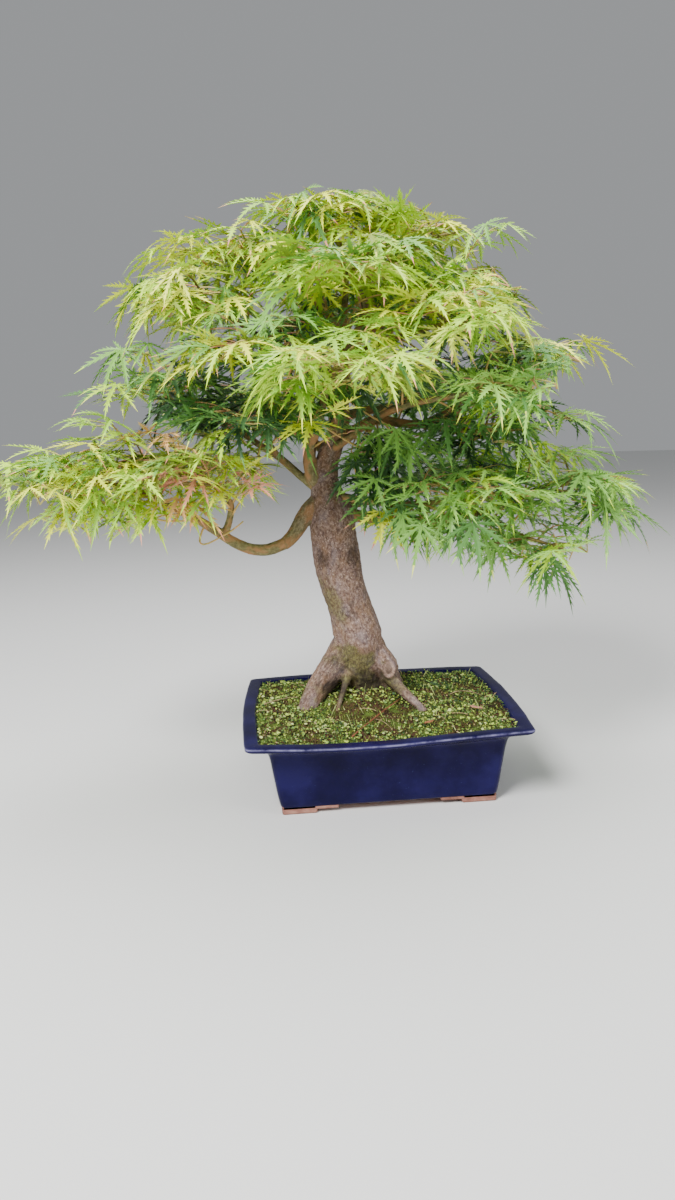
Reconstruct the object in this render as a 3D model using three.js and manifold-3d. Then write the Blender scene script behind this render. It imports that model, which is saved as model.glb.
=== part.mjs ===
// A Japanese maple bonsai in a glazed rectangular pot: millimetres, +Z up, front towards -Y.
// Everything is laid out from the centre of the pot. The last step moves the whole plant, so
// that the origin lies under the middle of its outline, on the surface that the pot stands on.
import * as THREE from "three";
import { mergeVertices } from "three/addons/utils/BufferGeometryUtils.js";
import Module from "manifold-3d";

const wasm = await Module();
wasm.setup();
const { Manifold, Mesh: SolidMesh } = wasm;

// Driving dimensions of the pot
const GAP = 0.3; // clearance between neighbouring solids
const POT_LENGTH = 294; // rim, corner to corner
const POT_WIDTH = 241;
const POT_HEIGHT = 89;
const FOOT_HEIGHT = 8;
const SIDE_BOW = 8; // how far the long rim swells out at its middle
const END_BOW = 5;
const KILN_SAG = 3.5; // the front of the rim has sunk a little in firing
const SAG_AT_X = -50;
const SAG_SPREAD = 95;
const BASE_INSET = [32.5, 31.5]; // rim edge to the edge of the underside
const FLOOR_TOP = 17;
const DRAIN_RADIUS = 11;
const DRAIN_AT_X = 58;
const STRAIGHT_BELOW_Z = 70; // above this level the wall swells and sinks with the rim
const RIM_BLEND = 10;
const SIDE_STOPS = [-0.98, -0.4, 0.4, 0.98]; // the points of a side, as shares of its half length
const FOOT_PAD = [37, 31, 17]; // legs along x and y, and thickness, of an angle-shaped foot
const FOOT_STEP = [60, 48, 15];
const FOOT_EDGE = 1; // how far a foot keeps inside the underside's edge, and sinks into it

// Wall profile: height, then how far it lies inside the rim's edge
const OUTER_WALL = [
  [FOOT_HEIGHT, BASE_INSET[0], BASE_INSET[1]],
  [20, 30, 29],
  [70, 23.5, 22.5],
  [77, 19, 18],
  [81.5, 8, 8],
  [83.5, 0.8, 0.8],
  [87.5, 0, 0],
  [POT_HEIGHT, 2, 2],
];
const INNER_WALL = [
  [POT_HEIGHT, 13, 13],
  [87.8, 14.5, 14.5],
  [80, 20, 20],
  [70, 31, 30],
  [FLOOR_TOP, 39, 38],
];

// Soil, moss and the level at which the trunk is cut flat
const SOIL_EDGE_Z = 84.5;
const GROUND_Z = 88;
const MOUND_HEIGHT = 17;
const MOUND_RADIUS = 62;
const MOUND_CENTRE = [-18, 14];
const MOUND_STRETCH = [1.15, 0.95];
const MOUND_PROFILE = [[1, 0], [0.8, 0.4], [0.45, 0.9], [0.1, 1]]; // shares of radius and height
const MOUND_SIDES = 12;
const MOUND_WAVE = 0.1; // three shallow bulges round it
const LEVEL_GROUND_INSET = [60, 46]; // rim edge to the level ground in the middle
const SOIL_OVERREACH = 4; // the block of soil runs this far into the wall before the pot is cut out

// Twigs. A pair of numbers is a first value and how much chance can add to it.
const TWIG_RADIUS = [2, 1.6];
const SIDE_TWIGS = 4;
const GOLDEN_ANGLE = 2.399963;
const TWIG_SWING = [-0.3, 0.6]; // turn away from the golden angle, radians
const TWIG_REACH = [0.86, 0.24]; // share of the space's half size
const TWIG_LIFT = [0.096, 0.16]; // arch, as a share of the twig's length
const TWIG_BEND_AT = 0.55;
const TWIGS_HEIGHT = 1.7; // from the first side twig down to the last, in half sizes
const STEM_KNEE = 0.4; // how far the stem runs straight on, as a share of the way to the middle
const STEM_REACH = 0.7; // how far it runs past the middle, as a share of the half size
const TWIGS_START = [0.4, 0.5]; // first place along the stem, and the length that all share

// Leaves
const LEAF_LENGTH = 62; // middle lobe
const LEAF_SIZE = [0.84, 0.26];
const LEAF_HALF_THICKNESS = 0.7; // at the palm
const LEAF_FALL = [0.2, 1]; // slope of a leaf
const LEAF_DROOP = [0.14, 0.16]; // how far a lobe's end hangs, as a share of its length
const LEAF_HAND_TURN = 1.1; // a leaf on the right or left turns away from its twig, radians
const LEAF_SWING = [-0.45, 0.9];
const LEAF_TRIES = 40;
const STALK_LENGTH = 18;
const STALK_SHARE = [0.7, 0.6];
const STALK_RADIUS = 0.7;
const PALM_RISE = [4, -8]; // from the seat up to the palm
const BLADE_ONLY = 0.3; // share of the stalk that keeps off the leaf's own twig with the blade

// Trunk: x, y, z and radius along its centre line
const TRUNK = [
  [-12, 20, 80, 20],
  [-12, 18, 110, 22],
  [-18, 13, 138, 26],
  [-19.5, 10, 164, 26.5],
  [-29.5, 10, 205, 24],
  [-38, 10, 245, 25.2],
  [-42, 10, 285, 25],
  [-43.5, 10, 306, 23],
  [-47, 11, 322, 18.5],
  [-48, 12, 340, 14.6],
  [-45, 11, 360, 12.6],
  [-38, 9, 378, 11.6],
  [-32, 8, 394, 11],
  [-30, 8, 424, 10.4],
  [-25, 8, 458, 9.4],
  [-12, 8, 480, 8.2],
  [0, 7, 503, 7],
  [-2, 4, 528, 5.6],
  [-12, 1, 550, 4.4],
  [-20, -1, 568, 3.6],
];

// Roots that spread from the trunk's foot, and last the knob where a thick one was pruned
const ROOTS = [
  [
    [-20, 10, 176, 19], [-36, 8, 146, 19], [-56, 4, 121, 15.5], [-71, -2, 103, 12.5],
    [-83, -7, 80, 11],
  ],
  [
    [-15, 11, 182, 19], [-5, 13, 152, 20], [3, 15, 132, 18.5], [11, 18, 114, 16], [20, 23, 97, 13],
    [30, 28, 80, 11],
  ],
  [[-17, 12, 166, 18], [-24, 36, 124, 14], [-34, 54, 102, 11], [-44, 68, 80, 9]],
  [[-12, 14, 164, 18], [12, 42, 120, 13], [24, 58, 100, 10], [36, 70, 80, 8]],
  [[-2, 10, 138, 11], [22, -6, 108, 6.5], [38, -26, 94, 5], [50, -41, 82, 4.5]],
  [[-26, 8, 142, 10], [-39, -12, 109, 5], [-47, -24, 92, 4], [-52, -34, 80, 4]],
  [[0, 10, 142, 12], [14, 4, 129, 13], [24, 0, 121, 12.5], [30, -1, 116, 9]],
];

// Boughs: the limb each one grows from, then x, y, z and radius from its root to its tip
const BOUGHS = {
  front_mid_bough: [
    "trunk", [-50, 10, 328, 8], [-62, 6, 344, 7.6], [-65, 3, 362, 7], [-62, -4, 379, 6],
    [-56, -24, 398, 5], [-51, -56, 420, 4], [-48, -90, 440, 3.2],
  ],
  left_low_elbow: [
    "trunk", [-50, 9, 320, 10], [-66, 6, 309, 9.6], [-76, 4, 296, 9.2], [-84, 2, 284, 8],
    [-94, 0, 274, 7],
  ],
  left_low_arm: [
    "left_low_elbow", [-94, 0, 274, 7], [-114, -2, 268, 6.4], [-133, -4, 270, 6],
    [-151, -6, 279, 5.6], [-167, -8, 291, 5.2], [-192, -10, 308, 4.4], [-222, -11, 325, 3.7],
    [-252, -10, 340, 3],
  ],
  left_low_fork: [
    "left_low_arm", [-160, -6, 285, 4.4], [-153, -10, 302, 3.8], [-150, -14, 318, 3.4],
    [-156, -18, 332, 3],
  ],
  left_mid_bough: [
    "front_mid_bough", [-58, 9, 330, 5], [-68, 10, 338, 4.6], [-82, 14, 351, 4.2],
    [-96, 16, 364, 4], [-115, 18, 377, 3.7], [-142, 18, 398, 3.3], [-168, 17, 422, 3],
  ],
  left_inner_bough: [
    "left_mid_bough", [-98, 15, 366, 3.4], [-108, -8, 382, 3], [-114, -30, 394, 2.6],
  ],
  left_upper_bough: [
    "trunk", [-27, 8, 440, 6], [-49, 7, 454, 5], [-72, 4, 462, 4.4], [-100, -1, 480, 3.8],
    [-130, -7, 502, 3],
  ],
  left_shoulder_bough: [
    "trunk", [-14, 8, 478, 5.4], [-36, 12, 508, 4.6], [-66, 14, 538, 3.8], [-94, 12, 560, 3],
  ],
  left_front_bough: [
    "trunk", [-32, 6, 404, 5], [-48, -12, 428, 4], [-68, -32, 452, 3.4], [-84, -44, 466, 2.8],
  ],
  right_shoulder_bough: [
    "trunk", [-2, 7, 500, 5], [20, 9, 526, 4.2], [38, 8, 554, 3.6], [48, 7, 570, 3],
  ],
  right_upper_bough: [
    "trunk", [-4, 7, 490, 5.4], [26, 8, 500, 4.6], [62, 6, 510, 3.8], [104, 3, 522, 3],
  ],
  right_mid_bough: [
    "trunk", [-34, 8, 382, 6.4], [-14, 8, 391, 5.8], [8, 7, 400, 5.4], [34, 8, 396, 5],
    [58, 10, 394, 4.6], [86, 13, 406, 4.2], [118, 15, 430, 3.7], [150, 15, 450, 3.2],
  ],
  right_inner_bough: [
    "right_mid_bough", [56, 6, 393, 3.6], [74, -6, 388, 3.2], [92, -16, 386, 2.8],
  ],
  right_front_bough: [
    "trunk", [-42, 6, 370, 4.6], [-24, -12, 382, 4], [4, -28, 402, 3.6], [38, -48, 414, 3.2],
    [76, -68, 420, 2.9], [104, -78, 424, 2.6],
  ],
  right_low_bough: [
    "trunk", [-34, 9, 306, 7.6], [-8, 7, 297, 6.6], [30, 5, 291, 5.8], [72, 3, 290, 5.2],
    [120, 4, 298, 4.6], [166, 7, 312, 3.9], [196, 9, 322, 3.3],
  ],
  right_low_inner_bough: [
    "trunk", [-38, 4, 322, 4.8], [-14, -14, 318, 4], [16, -32, 314, 3.4], [44, -44, 314, 2.8],
  ],
  right_hang_bough: [
    "right_low_bough", [116, 2, 296, 3.6], [134, -10, 288, 3], [152, -24, 276, 2.5],
  ],
  front_upper_bough: [
    "trunk", [-26, 6, 446, 5], [-28, -18, 474, 4.2], [-27, -46, 502, 3.6], [-26, -68, 522, 3],
  ],
  right_front_upper_bough: [
    "trunk", [-22, 6, 462, 5], [0, -22, 472, 4], [24, -54, 478, 3.4], [44, -80, 482, 2.8],
  ],
  back_left_bough: [
    "trunk", [-42, 12, 366, 6], [-64, 38, 382, 5], [-88, 66, 396, 4], [-106, 86, 404, 3.2],
  ],
  back_right_bough: [
    "trunk", [-32, 12, 404, 6], [-2, 38, 410, 5], [34, 70, 416, 4], [60, 92, 420, 3.2],
  ],
  back_upper_bough: ["trunk", [-24, 12, 462, 5.4], [-20, 38, 486, 4.2], [-15, 66, 502, 3.2]],
  back_low_bough: [
    "trunk", [-36, 16, 310, 6], [4, 42, 312, 5], [52, 74, 318, 4], [90, 92, 325, 3.2],
  ],
  pruned_stub: ["front_mid_bough", [-61, 2, 380, 4.4], [-74, 1, 389, 4], [-88, 0, 398, 3.6]],
};

// Masses of foliage: the limb that carries each one, the centre and the half sizes of the space
// that its twigs' tips reach, and a seed
const MASSES = {
  left_tip: ["left_low_arm", [-312, -10, 340], [62, 58, 28], 11],
  left_low: ["left_low_fork", [-186, -36, 344], [60, 62, 32], 12],
  left_mid: ["left_mid_bough", [-212, 18, 430], [52, 66, 34], 13],
  left_inner: ["left_inner_bough", [-124, -62, 402], [46, 42, 26], 32],
  left_upper: ["left_upper_bough", [-178, -12, 518], [46, 68, 30], 14],
  left_shoulder: ["left_shoulder_bough", [-124, 14, 572], [42, 60, 22], 15],
  left_front: ["left_front_bough", [-116, -84, 470], [50, 44, 32], 16],
  apex: ["trunk", [-32, -4, 608], [52, 56, 22], 17],
  right_shoulder: ["right_shoulder_bough", [76, 8, 588], [50, 58, 24], 18],
  right_upper: ["right_upper_bough", [144, 2, 530], [44, 64, 32], 19],
  right_mid: ["right_mid_bough", [194, 16, 456], [46, 68, 34], 20],
  right_inner: ["right_inner_bough", [132, -24, 384], [50, 46, 24], 33],
  right_front: ["right_front_bough", [140, -96, 418], [50, 44, 32], 21],
  right_low: ["right_low_bough", [238, 12, 324], [58, 68, 32], 22],
  right_low_inner: ["right_low_inner_bough", [92, -62, 322], [56, 50, 34], 23],
  right_hang: ["right_hang_bough", [180, -38, 258], [42, 42, 28], 24],
  front_mid: ["front_mid_bough", [-42, -134, 446], [60, 40, 34], 25],
  front_upper: ["front_upper_bough", [-28, -98, 536], [62, 44, 30], 26],
  right_front_upper: ["right_front_upper_bough", [72, -112, 490], [46, 42, 32], 27],
  back_left: ["back_left_bough", [-130, 112, 418], [58, 50, 34], 28],
  back_right: ["back_right_bough", [94, 118, 430], [60, 50, 34], 29],
  back_upper: ["back_upper_bough", [-10, 100, 520], [64, 48, 34], 30],
  back_low: ["back_low_bough", [130, 108, 338], [56, 46, 30], 31],
};

const COLOURS = {
  glaze: [0x14163a, 0.22, 0],
  soil: [0x4c4a26, 0.95, 0],
  moss: [0x5f7d24, 0.95, 0],
  bark: [0x77685a, 0.9, 0],
  young_bark: [0x6b6238, 0.8, 0],
  foliage: [0x9bc23c, 0.55, 0],
};

const vec = (p) => new THREE.Vector3(p[0], p[1], p[2]);
const UP = vec([0, 0, 1]);

// A repeatable stream of numbers from 0 to 1, and a value drawn with it from a pair.
function randomStream(seed) {
  let state = seed * 7919 + 17;
  return () => {
    state = (state * 48271) % 2147483647;
    return state / 2147483647;
  };
}

const vary = ([least, more], random) => least + more * random();

// Solids and geometries

function toSolid(geometry, tolerance = 1e-4) {
  const bare = geometry.clone();
  bare.deleteAttribute("normal");
  bare.deleteAttribute("uv");
  const merged = mergeVertices(bare, tolerance);
  return new Manifold(
    new SolidMesh({
      numProp: 3,
      vertProperties: new Float32Array(merged.attributes.position.array),
      triVerts: new Uint32Array(merged.index.array),
    }),
  );
}

function toGeometry(solid) {
  const mesh = solid.getMesh();
  const geometry = new THREE.BufferGeometry();
  geometry.setAttribute("position", new THREE.BufferAttribute(mesh.vertProperties, 3));
  geometry.setIndex(new THREE.BufferAttribute(mesh.triVerts, 1));
  geometry.computeVertexNormals();
  return geometry;
}

// The largest closed body of a solid: loose scraps go, and hollows that fusing sealed are filled.
const largestOf = (bodies) => bodies.sort((a, b) => b.volume() - a.volume())[0];

const mainBody = (solid) => largestOf(solid.decompose());

// Slivers are smoothed away, and points that all but coincide become one.
const SLIVER = 0.01;
const SAME_POINT = 1e-3;
const MERGE_ROUNDS = 6;

function settled(solid) {
  let body = mainBody(mainBody(solid).simplify(SLIVER));
  for (let round = 0; round < MERGE_ROUNDS; round++) {
    const again = toSolid(toGeometry(body), SAME_POINT);
    const bodies = again.decompose();
    if (bodies.length === 1) return body;
    body = largestOf(bodies);
  }
  return body;
}

const fuse = (solids) => solids.reduce((all, next) => all.add(next));

// A closed surface from points and triangles of their numbers.
function closedGeometry({ points, triangles }) {
  const geometry = new THREE.BufferGeometry().setFromPoints(points);
  geometry.setIndex(triangles.flat());
  return geometry;
}

// A closed skin over rings of equally many points, each ring counter-clockwise seen from the end.
function skinOver(rings) {
  const count = rings[0].length;
  const end = (rings.length - 1) * count;
  const triangles = [];
  for (let k = 0; k < count; k++) {
    const next = (k + 1) % count;
    for (let a = k, b = next; a < end; a += count, b += count)
      triangles.push([a, b, b + count], [a, b + count, a + count]);
  }
  for (let k = 1; k + 1 < count; k++)
    triangles.push([0, k + 1, k], [end, end + k, end + k + 1]);
  return { points: rings.flat(), triangles };
}

const loft = (rings) => closedGeometry(skinOver(rings));

// A smooth line through stations of x, y, z and radius.
const throughStations = (stations) =>
  new THREE.CatmullRomCurve3(stations.map(vec), false, "centripetal");

function limbGeometry(stations, sides, steps, extra) {
  const radii = stations.map((station) => station[3] + extra);
  const stops = Array.from({ length: steps + 1 }, (_, i) => i / steps);
  return loft(ringsAlong(throughStations(stations), radii, sides, stops));
}

// Rings round a curve at the given stops, with radii that are spread evenly over its length.
function ringsAlong(curve, radii, sides, stops) {
  const turn = sides % 2 ? Math.PI / 2 : Math.PI / sides; // an odd section has its ridge on top
  let left = null;
  return stops.map((t) => {
    const centre = curve.getPoint(t);
    const along = curve.getTangent(t);
    const level = Math.abs(along.z) > 0.9 ? vec([0, 1, 0]) : UP;
    left = left ?? new THREE.Vector3().crossVectors(level, along);
    left.addScaledVector(along, -left.dot(along)).normalize();
    const top = new THREE.Vector3().crossVectors(along, left);
    const place = t * (radii.length - 1);
    const low = Math.min(Math.floor(place), radii.length - 2);
    const radius = THREE.MathUtils.lerp(radii[low], radii[low + 1], place - low);
    return Array.from({ length: sides }, (_, k) => {
      const angle = turn + (2 * Math.PI * k) / sides;
      return centre
        .clone()
        .addScaledVector(left, radius * Math.cos(angle))
        .addScaledVector(top, radius * Math.sin(angle));
    });
  });
}

// Pot and soil

// One level of the pot: a rectangle whose sides swell outwards a little.
function bowedOutline(z, insetX, insetY, bowShare = 1) {
  const halfX = POT_LENGTH / 2 - insetX;
  const halfY = POT_WIDTH / 2 - insetY;
  const points = [];
  for (const [turn, half, reach, bow] of [
    [0, halfX, halfY, SIDE_BOW],
    [1, halfY, halfX, END_BOW],
    [2, halfX, halfY, SIDE_BOW],
    [3, halfY, halfX, END_BOW],
  ])
    for (const stop of SIDE_STOPS) {
      const out = reach + bowShare * bow * (1 - stop * stop);
      const point = vec([stop * half, -out, z]).applyAxisAngle(UP, (turn * Math.PI) / 2);
      point.z -= sagAt(point, z);
      points.push(point);
    }
  return points;
}

// The front of the rim is a few millimetres lower left of its middle; the walls below are straight.
function sagAt(point, z) {
  const across = Math.exp(-(((point.x - SAG_AT_X) / SAG_SPREAD) ** 2));
  return rimShare(z) * KILN_SAG * across * THREE.MathUtils.clamp((-2 * point.y) / POT_WIDTH, 0, 1);
}

// The rim is bowed and sunk, the walls under it are straight.
const rimShare = (z) => THREE.MathUtils.clamp((z - STRAIGHT_BELOW_Z) / RIM_BLEND, 0, 1);

function foot(signX, signY) {
  const cornerX = POT_LENGTH / 2 - BASE_INSET[0] - FOOT_EDGE;
  const cornerY = POT_WIDTH / 2 - BASE_INSET[1] - FOOT_EDGE;
  const high = FOOT_HEIGHT + FOOT_EDGE;
  const angleBracket = ([legX, legY, thick], low) => {
    const shape = new THREE.Shape(
      [[0, 0], [legX, 0], [legX, thick], [thick, thick], [thick, legY], [0, legY]].map(
        ([x, y]) => new THREE.Vector2(cornerX - x, cornerY - y),
      ),
    );
    const geometry = new THREE.ExtrudeGeometry(shape, { depth: high - low, bevelEnabled: false });
    return toSolid(geometry.translate(0, 0, low));
  };
  let whole = angleBracket(FOOT_PAD, 0).add(angleBracket(FOOT_STEP, FOOT_HEIGHT / 2));
  if (signX < 0) whole = whole.mirror([1, 0, 0]);
  if (signY < 0) whole = whole.mirror([0, 1, 0]);
  return whole;
}

// The pot without its feet and drains, its inner wall thicker by extra.
function potBody(extra) {
  const inner = INNER_WALL.map(([z, x, y]) => [z + (z === FLOOR_TOP ? extra : 0), x + extra, y + extra]);
  const walls = [...OUTER_WALL, ...inner];
  return toSolid(loft(walls.map(([z, x, y]) => bowedOutline(z, x, y, rimShare(z)))));
}

function potSolid() {
  const feet = [[1, 1], [1, -1], [-1, 1], [-1, -1]].map(([x, y]) => foot(x, y));
  const drains = [-DRAIN_AT_X, DRAIN_AT_X].map((x) => {
    const hole = new THREE.CylinderGeometry(DRAIN_RADIUS, DRAIN_RADIUS, 3 * FLOOR_TOP, 12);
    return toSolid(hole.rotateX(Math.PI / 2).translate(x, 0, FLOOR_TOP));
  });
  return drains.reduce((pot, hole) => pot.subtract(hole), fuse([potBody(0), ...feet]));
}

// Soil fills the pot to just under the rim and rises a little to the level ground at the trunk.
function soilSolid() {
  const [rim, , high, low, floor] = INNER_WALL;
  const levels = [floor, low, high, [SOIL_EDGE_Z, rim[1], rim[2]]];
  const rings = levels.map(([z, x, y]) =>
    bowedOutline(z, x - SOIL_OVERREACH, y - SOIL_OVERREACH, rimShare(z)),
  );
  rings.push(bowedOutline(GROUND_Z, ...LEVEL_GROUND_INSET, 0));
  for (const point of rings.at(-1)) point.z = GROUND_Z;
  return mainBody(toSolid(loft(rings)).subtract(potBody(GAP)));
}

// A low mossy mound round the roots, cut clear of the trunk.
function mossSolid(trunkClear) {
  const rings = MOUND_PROFILE.map(([share, rise]) =>
    Array.from({ length: MOUND_SIDES }, (_, k) => {
      const angle = (2 * Math.PI * k) / MOUND_SIDES;
      const radius = MOUND_RADIUS * share * (1 + MOUND_WAVE * Math.sin(3 * angle + 1));
      return vec([
        MOUND_CENTRE[0] + MOUND_STRETCH[0] * radius * Math.cos(angle),
        MOUND_CENTRE[1] + MOUND_STRETCH[1] * radius * Math.sin(angle),
        GROUND_Z + GAP + MOUND_HEIGHT * rise,
      ]);
    }),
  );
  return mainBody(toSolid(loft(rings)).subtract(trunkClear));
}

// Trunk and boughs

const TRUNK_SIDES = 12;
const TRUNK_STEPS = 22;
const ROOT_SIDES = 6;
const ROOT_STEPS = 5;
const BOUGH_SIDES = 6;

// The trunk with its roots, grown by extra all round, before it is cut at the ground.
function trunkBlank(extra) {
  const stem = toSolid(limbGeometry(TRUNK, TRUNK_SIDES, TRUNK_STEPS, extra));
  const roots = ROOTS.map((root) => toSolid(limbGeometry(root, ROOT_SIDES, ROOT_STEPS, extra)));
  return fuse([stem, ...roots]);
}

function aboveGround(solid) {
  const below = new THREE.BoxGeometry(2 * POT_LENGTH, 2 * POT_WIDTH, 2 * GROUND_Z).translate(0, 0, GAP);
  return solid.subtract(toSolid(below));
}

function boughSolids(extra) {
  const solids = {};
  for (const [name, [, ...stations]] of Object.entries(BOUGHS))
    solids[name] = toSolid(limbGeometry(stations, BOUGH_SIDES, stations.length, extra));
  return solids;
}

// Foliage

// Where a limb ends, which way it points there and how thick it is.
function tipOf(name) {
  const stations = name === "trunk" ? TRUNK : BOUGHS[name].slice(1);
  const curve = throughStations(stations);
  return { at: curve.getPoint(1), along: curve.getTangent(1), radius: stations.at(-1)[3] };
}

// A twig from root to tip that rises first and droops at its end.
function archedTwig(root, tip, lift) {
  const bend = root.clone().lerp(tip, TWIG_BEND_AT);
  bend.z += lift;
  return new THREE.QuadraticBezierCurve3(root, bend, tip);
}

// The twigs of one mass: its stem runs on from the limb's tip to the far side of the mass, and
// side twigs leave it by the golden angle, the first ones upwards, the last ones below the middle.
function growTwigs([limb, centre, half, seed]) {
  const random = randomStream(seed);
  const tip = tipOf(limb);
  const root = tip.at.clone().addScaledVector(tip.along, GAP);
  const middle = vec(centre);
  const onward = middle.clone().sub(root).setZ(0).normalize();
  const beyond = vec([half[0] * onward.x, half[1] * onward.y, 0]);
  const stemEnd = middle.clone().addScaledVector(beyond, STEM_REACH);
  const knee = root.clone().addScaledVector(tip.along, STEM_KNEE * root.distanceTo(middle));
  const stem = new THREE.QuadraticBezierCurve3(root, knee, stemEnd);
  const heading = Math.atan2(onward.y, onward.x);
  const twigs = [];
  for (let i = 0; i < SIDE_TWIGS; i++) {
    const azimuth = heading + Math.PI / 2 + i * GOLDEN_ANGLE + vary(TWIG_SWING, random);
    const height = 1 - (TWIGS_HEIGHT * (i + 0.5)) / SIDE_TWIGS;
    const level = Math.sqrt(1 - height * height);
    const reach = vary(TWIG_REACH, random);
    const end = middle.clone().add(
      vec([
        half[0] * level * Math.cos(azimuth) * reach,
        half[1] * level * Math.sin(azimuth) * reach,
        half[2] * height * reach,
      ]),
    );
    const start = stem.getPoint(TWIGS_START[0] + (TWIGS_START[1] * (i + random())) / SIDE_TWIGS);
    const twig = archedTwig(start, end, start.distanceTo(end) * vary(TWIG_LIFT, random));
    twigs.push(ringsAlong(twig, TWIG_RADIUS, 3, TWIG_STOPS));
  }
  const stemRings = ringsAlong(stem, [tip.radius, TWIG_RADIUS[0], TWIG_RADIUS[1]], 3, TWIG_STOPS);
  return { stem: stemRings, twigs, random };
}

// A five-lobed leaf with its stalk is one thin body: the lobes hang lower than the palm. It has 13
// points of its own, the outline and the palm's top and underside, and stands on three more: the
// left, right and low corner of its seat on the twig.
const LOBES = [[-104, 0.62], [-52, 0.9], [0, 1], [52, 0.9], [104, 0.62]];
const NOTCH = [26, 0.27]; // how far past its lobe a notch lies, and its share of the length
const LEAF_BASE = [5, 2.6]; // how far the blade's base runs back along the stalk, and its half width
const [OUTLINE_END, PALM_TOP, PALM_UNDER, LEFT, RIGHT, LOW] = [10, 11, 12, 13, 14, 15];
const LEAF_FACES = [
  [PALM_TOP, OUTLINE_END, RIGHT],
  [PALM_TOP, RIGHT, LEFT],
  [PALM_TOP, LEFT, 0],
  [PALM_UNDER, RIGHT, OUTLINE_END],
  [PALM_UNDER, LOW, RIGHT],
  [PALM_UNDER, LEFT, LOW],
  [PALM_UNDER, 0, LEFT],
];
for (let k = 0; k < OUTLINE_END; k++)
  LEAF_FACES.push([PALM_TOP, k, k + 1], [PALM_UNDER, k + 1, k]);

function leafPoints({ root, palm, forward, droop, length }) {
  const side = new THREE.Vector3().crossVectors(UP, forward).normalize();
  const normal = new THREE.Vector3().crossVectors(forward, side);
  const stalk = palm.clone().sub(root).normalize();
  const across = new THREE.Vector3().crossVectors(UP, stalk).normalize();
  const onBase = (hand) =>
    palm.clone().addScaledVector(stalk, -LEAF_BASE[0]).addScaledVector(across, hand * LEAF_BASE[1]);
  const onOutline = (degrees, share) => {
    const angle = THREE.MathUtils.degToRad(degrees);
    return palm
      .clone()
      .addScaledVector(forward, Math.cos(angle) * share * length)
      .addScaledVector(side, Math.sin(angle) * share * length)
      .addScaledVector(UP, -droop * share * share * length);
  };
  const star = LOBES.flatMap(([degrees, share]) => [
    onOutline(degrees, share),
    onOutline(degrees + NOTCH[0], NOTCH[1]),
  ]).slice(0, -1);
  const [top, under] = [1, -1].map((way) =>
    palm.clone().addScaledVector(normal, way * LEAF_HALF_THICKNESS),
  );
  return [onBase(-1), ...star, onBase(1), top, under];
}

// A leaf by itself, with a small seat at root, to test whether it has room.
function leafAlone(leaf, root = leaf.root) {
  const stalk = leaf.palm.clone().sub(root).normalize();
  const across = new THREE.Vector3().crossVectors(UP, stalk).normalize();
  const over = new THREE.Vector3().crossVectors(stalk, across);
  const seat = [[-0.87, 0.5], [0.87, 0.5], [0, -1]].map(([a, o]) =>
    root.clone().addScaledVector(across, a * STALK_RADIUS).addScaledVector(over, o * STALK_RADIUS),
  );
  const points = [...leafPoints({ ...leaf, root }), ...seat];
  return toSolid(closedGeometry({ points, triangles: [...LEAF_FACES, [LEFT, RIGHT, LOW]] }));
}

// The rings of a three-sided twig: two close together where a pair of leaves sits, and its end.
const TWIG_STOPS = [0, 0.45, 0.8, 0.86, 1];
const PAIR_RING = 2;

// The corners of a leaf's seat: a face on the right or left of the twig at the pair, or its end.
function seatOf(hand) {
  const here = 3 * PAIR_RING;
  const next = here + 3;
  const end = 3 * (TWIG_STOPS.length - 1);
  if (hand < 0) return [here, next + 1, here + 1];
  if (hand > 0) return [next, here, here + 2];
  return [end, end + 2, end + 1];
}

// A twig, or the stem of a mass, with its leaves grown out of faces of its skin.
function twigWithLeaves(rings, leaves) {
  const { points, triangles } = skinOver(rings);
  for (const { hand, leaf } of leaves) {
    const seat = seatOf(hand);
    const covered = triangles.findIndex((corners) => seat.every((k) => corners.includes(k)));
    triangles.splice(covered, 1);
    const first = points.length;
    points.push(...leafPoints(leaf));
    triangles.push(...LEAF_FACES.map((face) => face.map((k) => (k < LEFT ? first + k : seat[k - LEFT]))));
  }
  return toSolid(closedGeometry({ points, triangles }));
}

// A leaf reaches out ahead or to one hand of its twig and hangs.
function hangingLeaf(rings, hand, random) {
  const points = rings.flat();
  const root = vec([0, 0, 0]);
  for (const k of seatOf(hand)) root.addScaledVector(points[k], 1 / 3);
  const heading = rings.at(-1)[0].clone().sub(rings.at(PAIR_RING)[0]).setZ(0).normalize();
  const away = heading.applyAxisAngle(UP, LEAF_HAND_TURN * hand + vary(LEAF_SWING, random));
  const palm = root
    .clone()
    .addScaledVector(away, STALK_LENGTH * vary(STALK_SHARE, random))
    .addScaledVector(UP, vary(PALM_RISE, random));
  const forward = away.addScaledVector(UP, -vary(LEAF_FALL, random)).normalize();
  const length = LEAF_LENGTH * vary(LEAF_SIZE, random);
  return { root, palm, forward, droop: vary(LEAF_DROOP, random), length };
}

// How far a point lies from the centre of a mass, in its own half sizes.
function spread(point, [, centre, half]) {
  return Math.hypot(...["x", "y", "z"].map((axis, k) => (point[axis] - centre[k]) / half[k]));
}

// A point is in the space of the mass that it lies nearest to.
function inOwnSpace(point, name) {
  const own = spread(point, MASSES[name]);
  return Object.values(MASSES).every((mass) => spread(point, mass) >= own);
}

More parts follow.
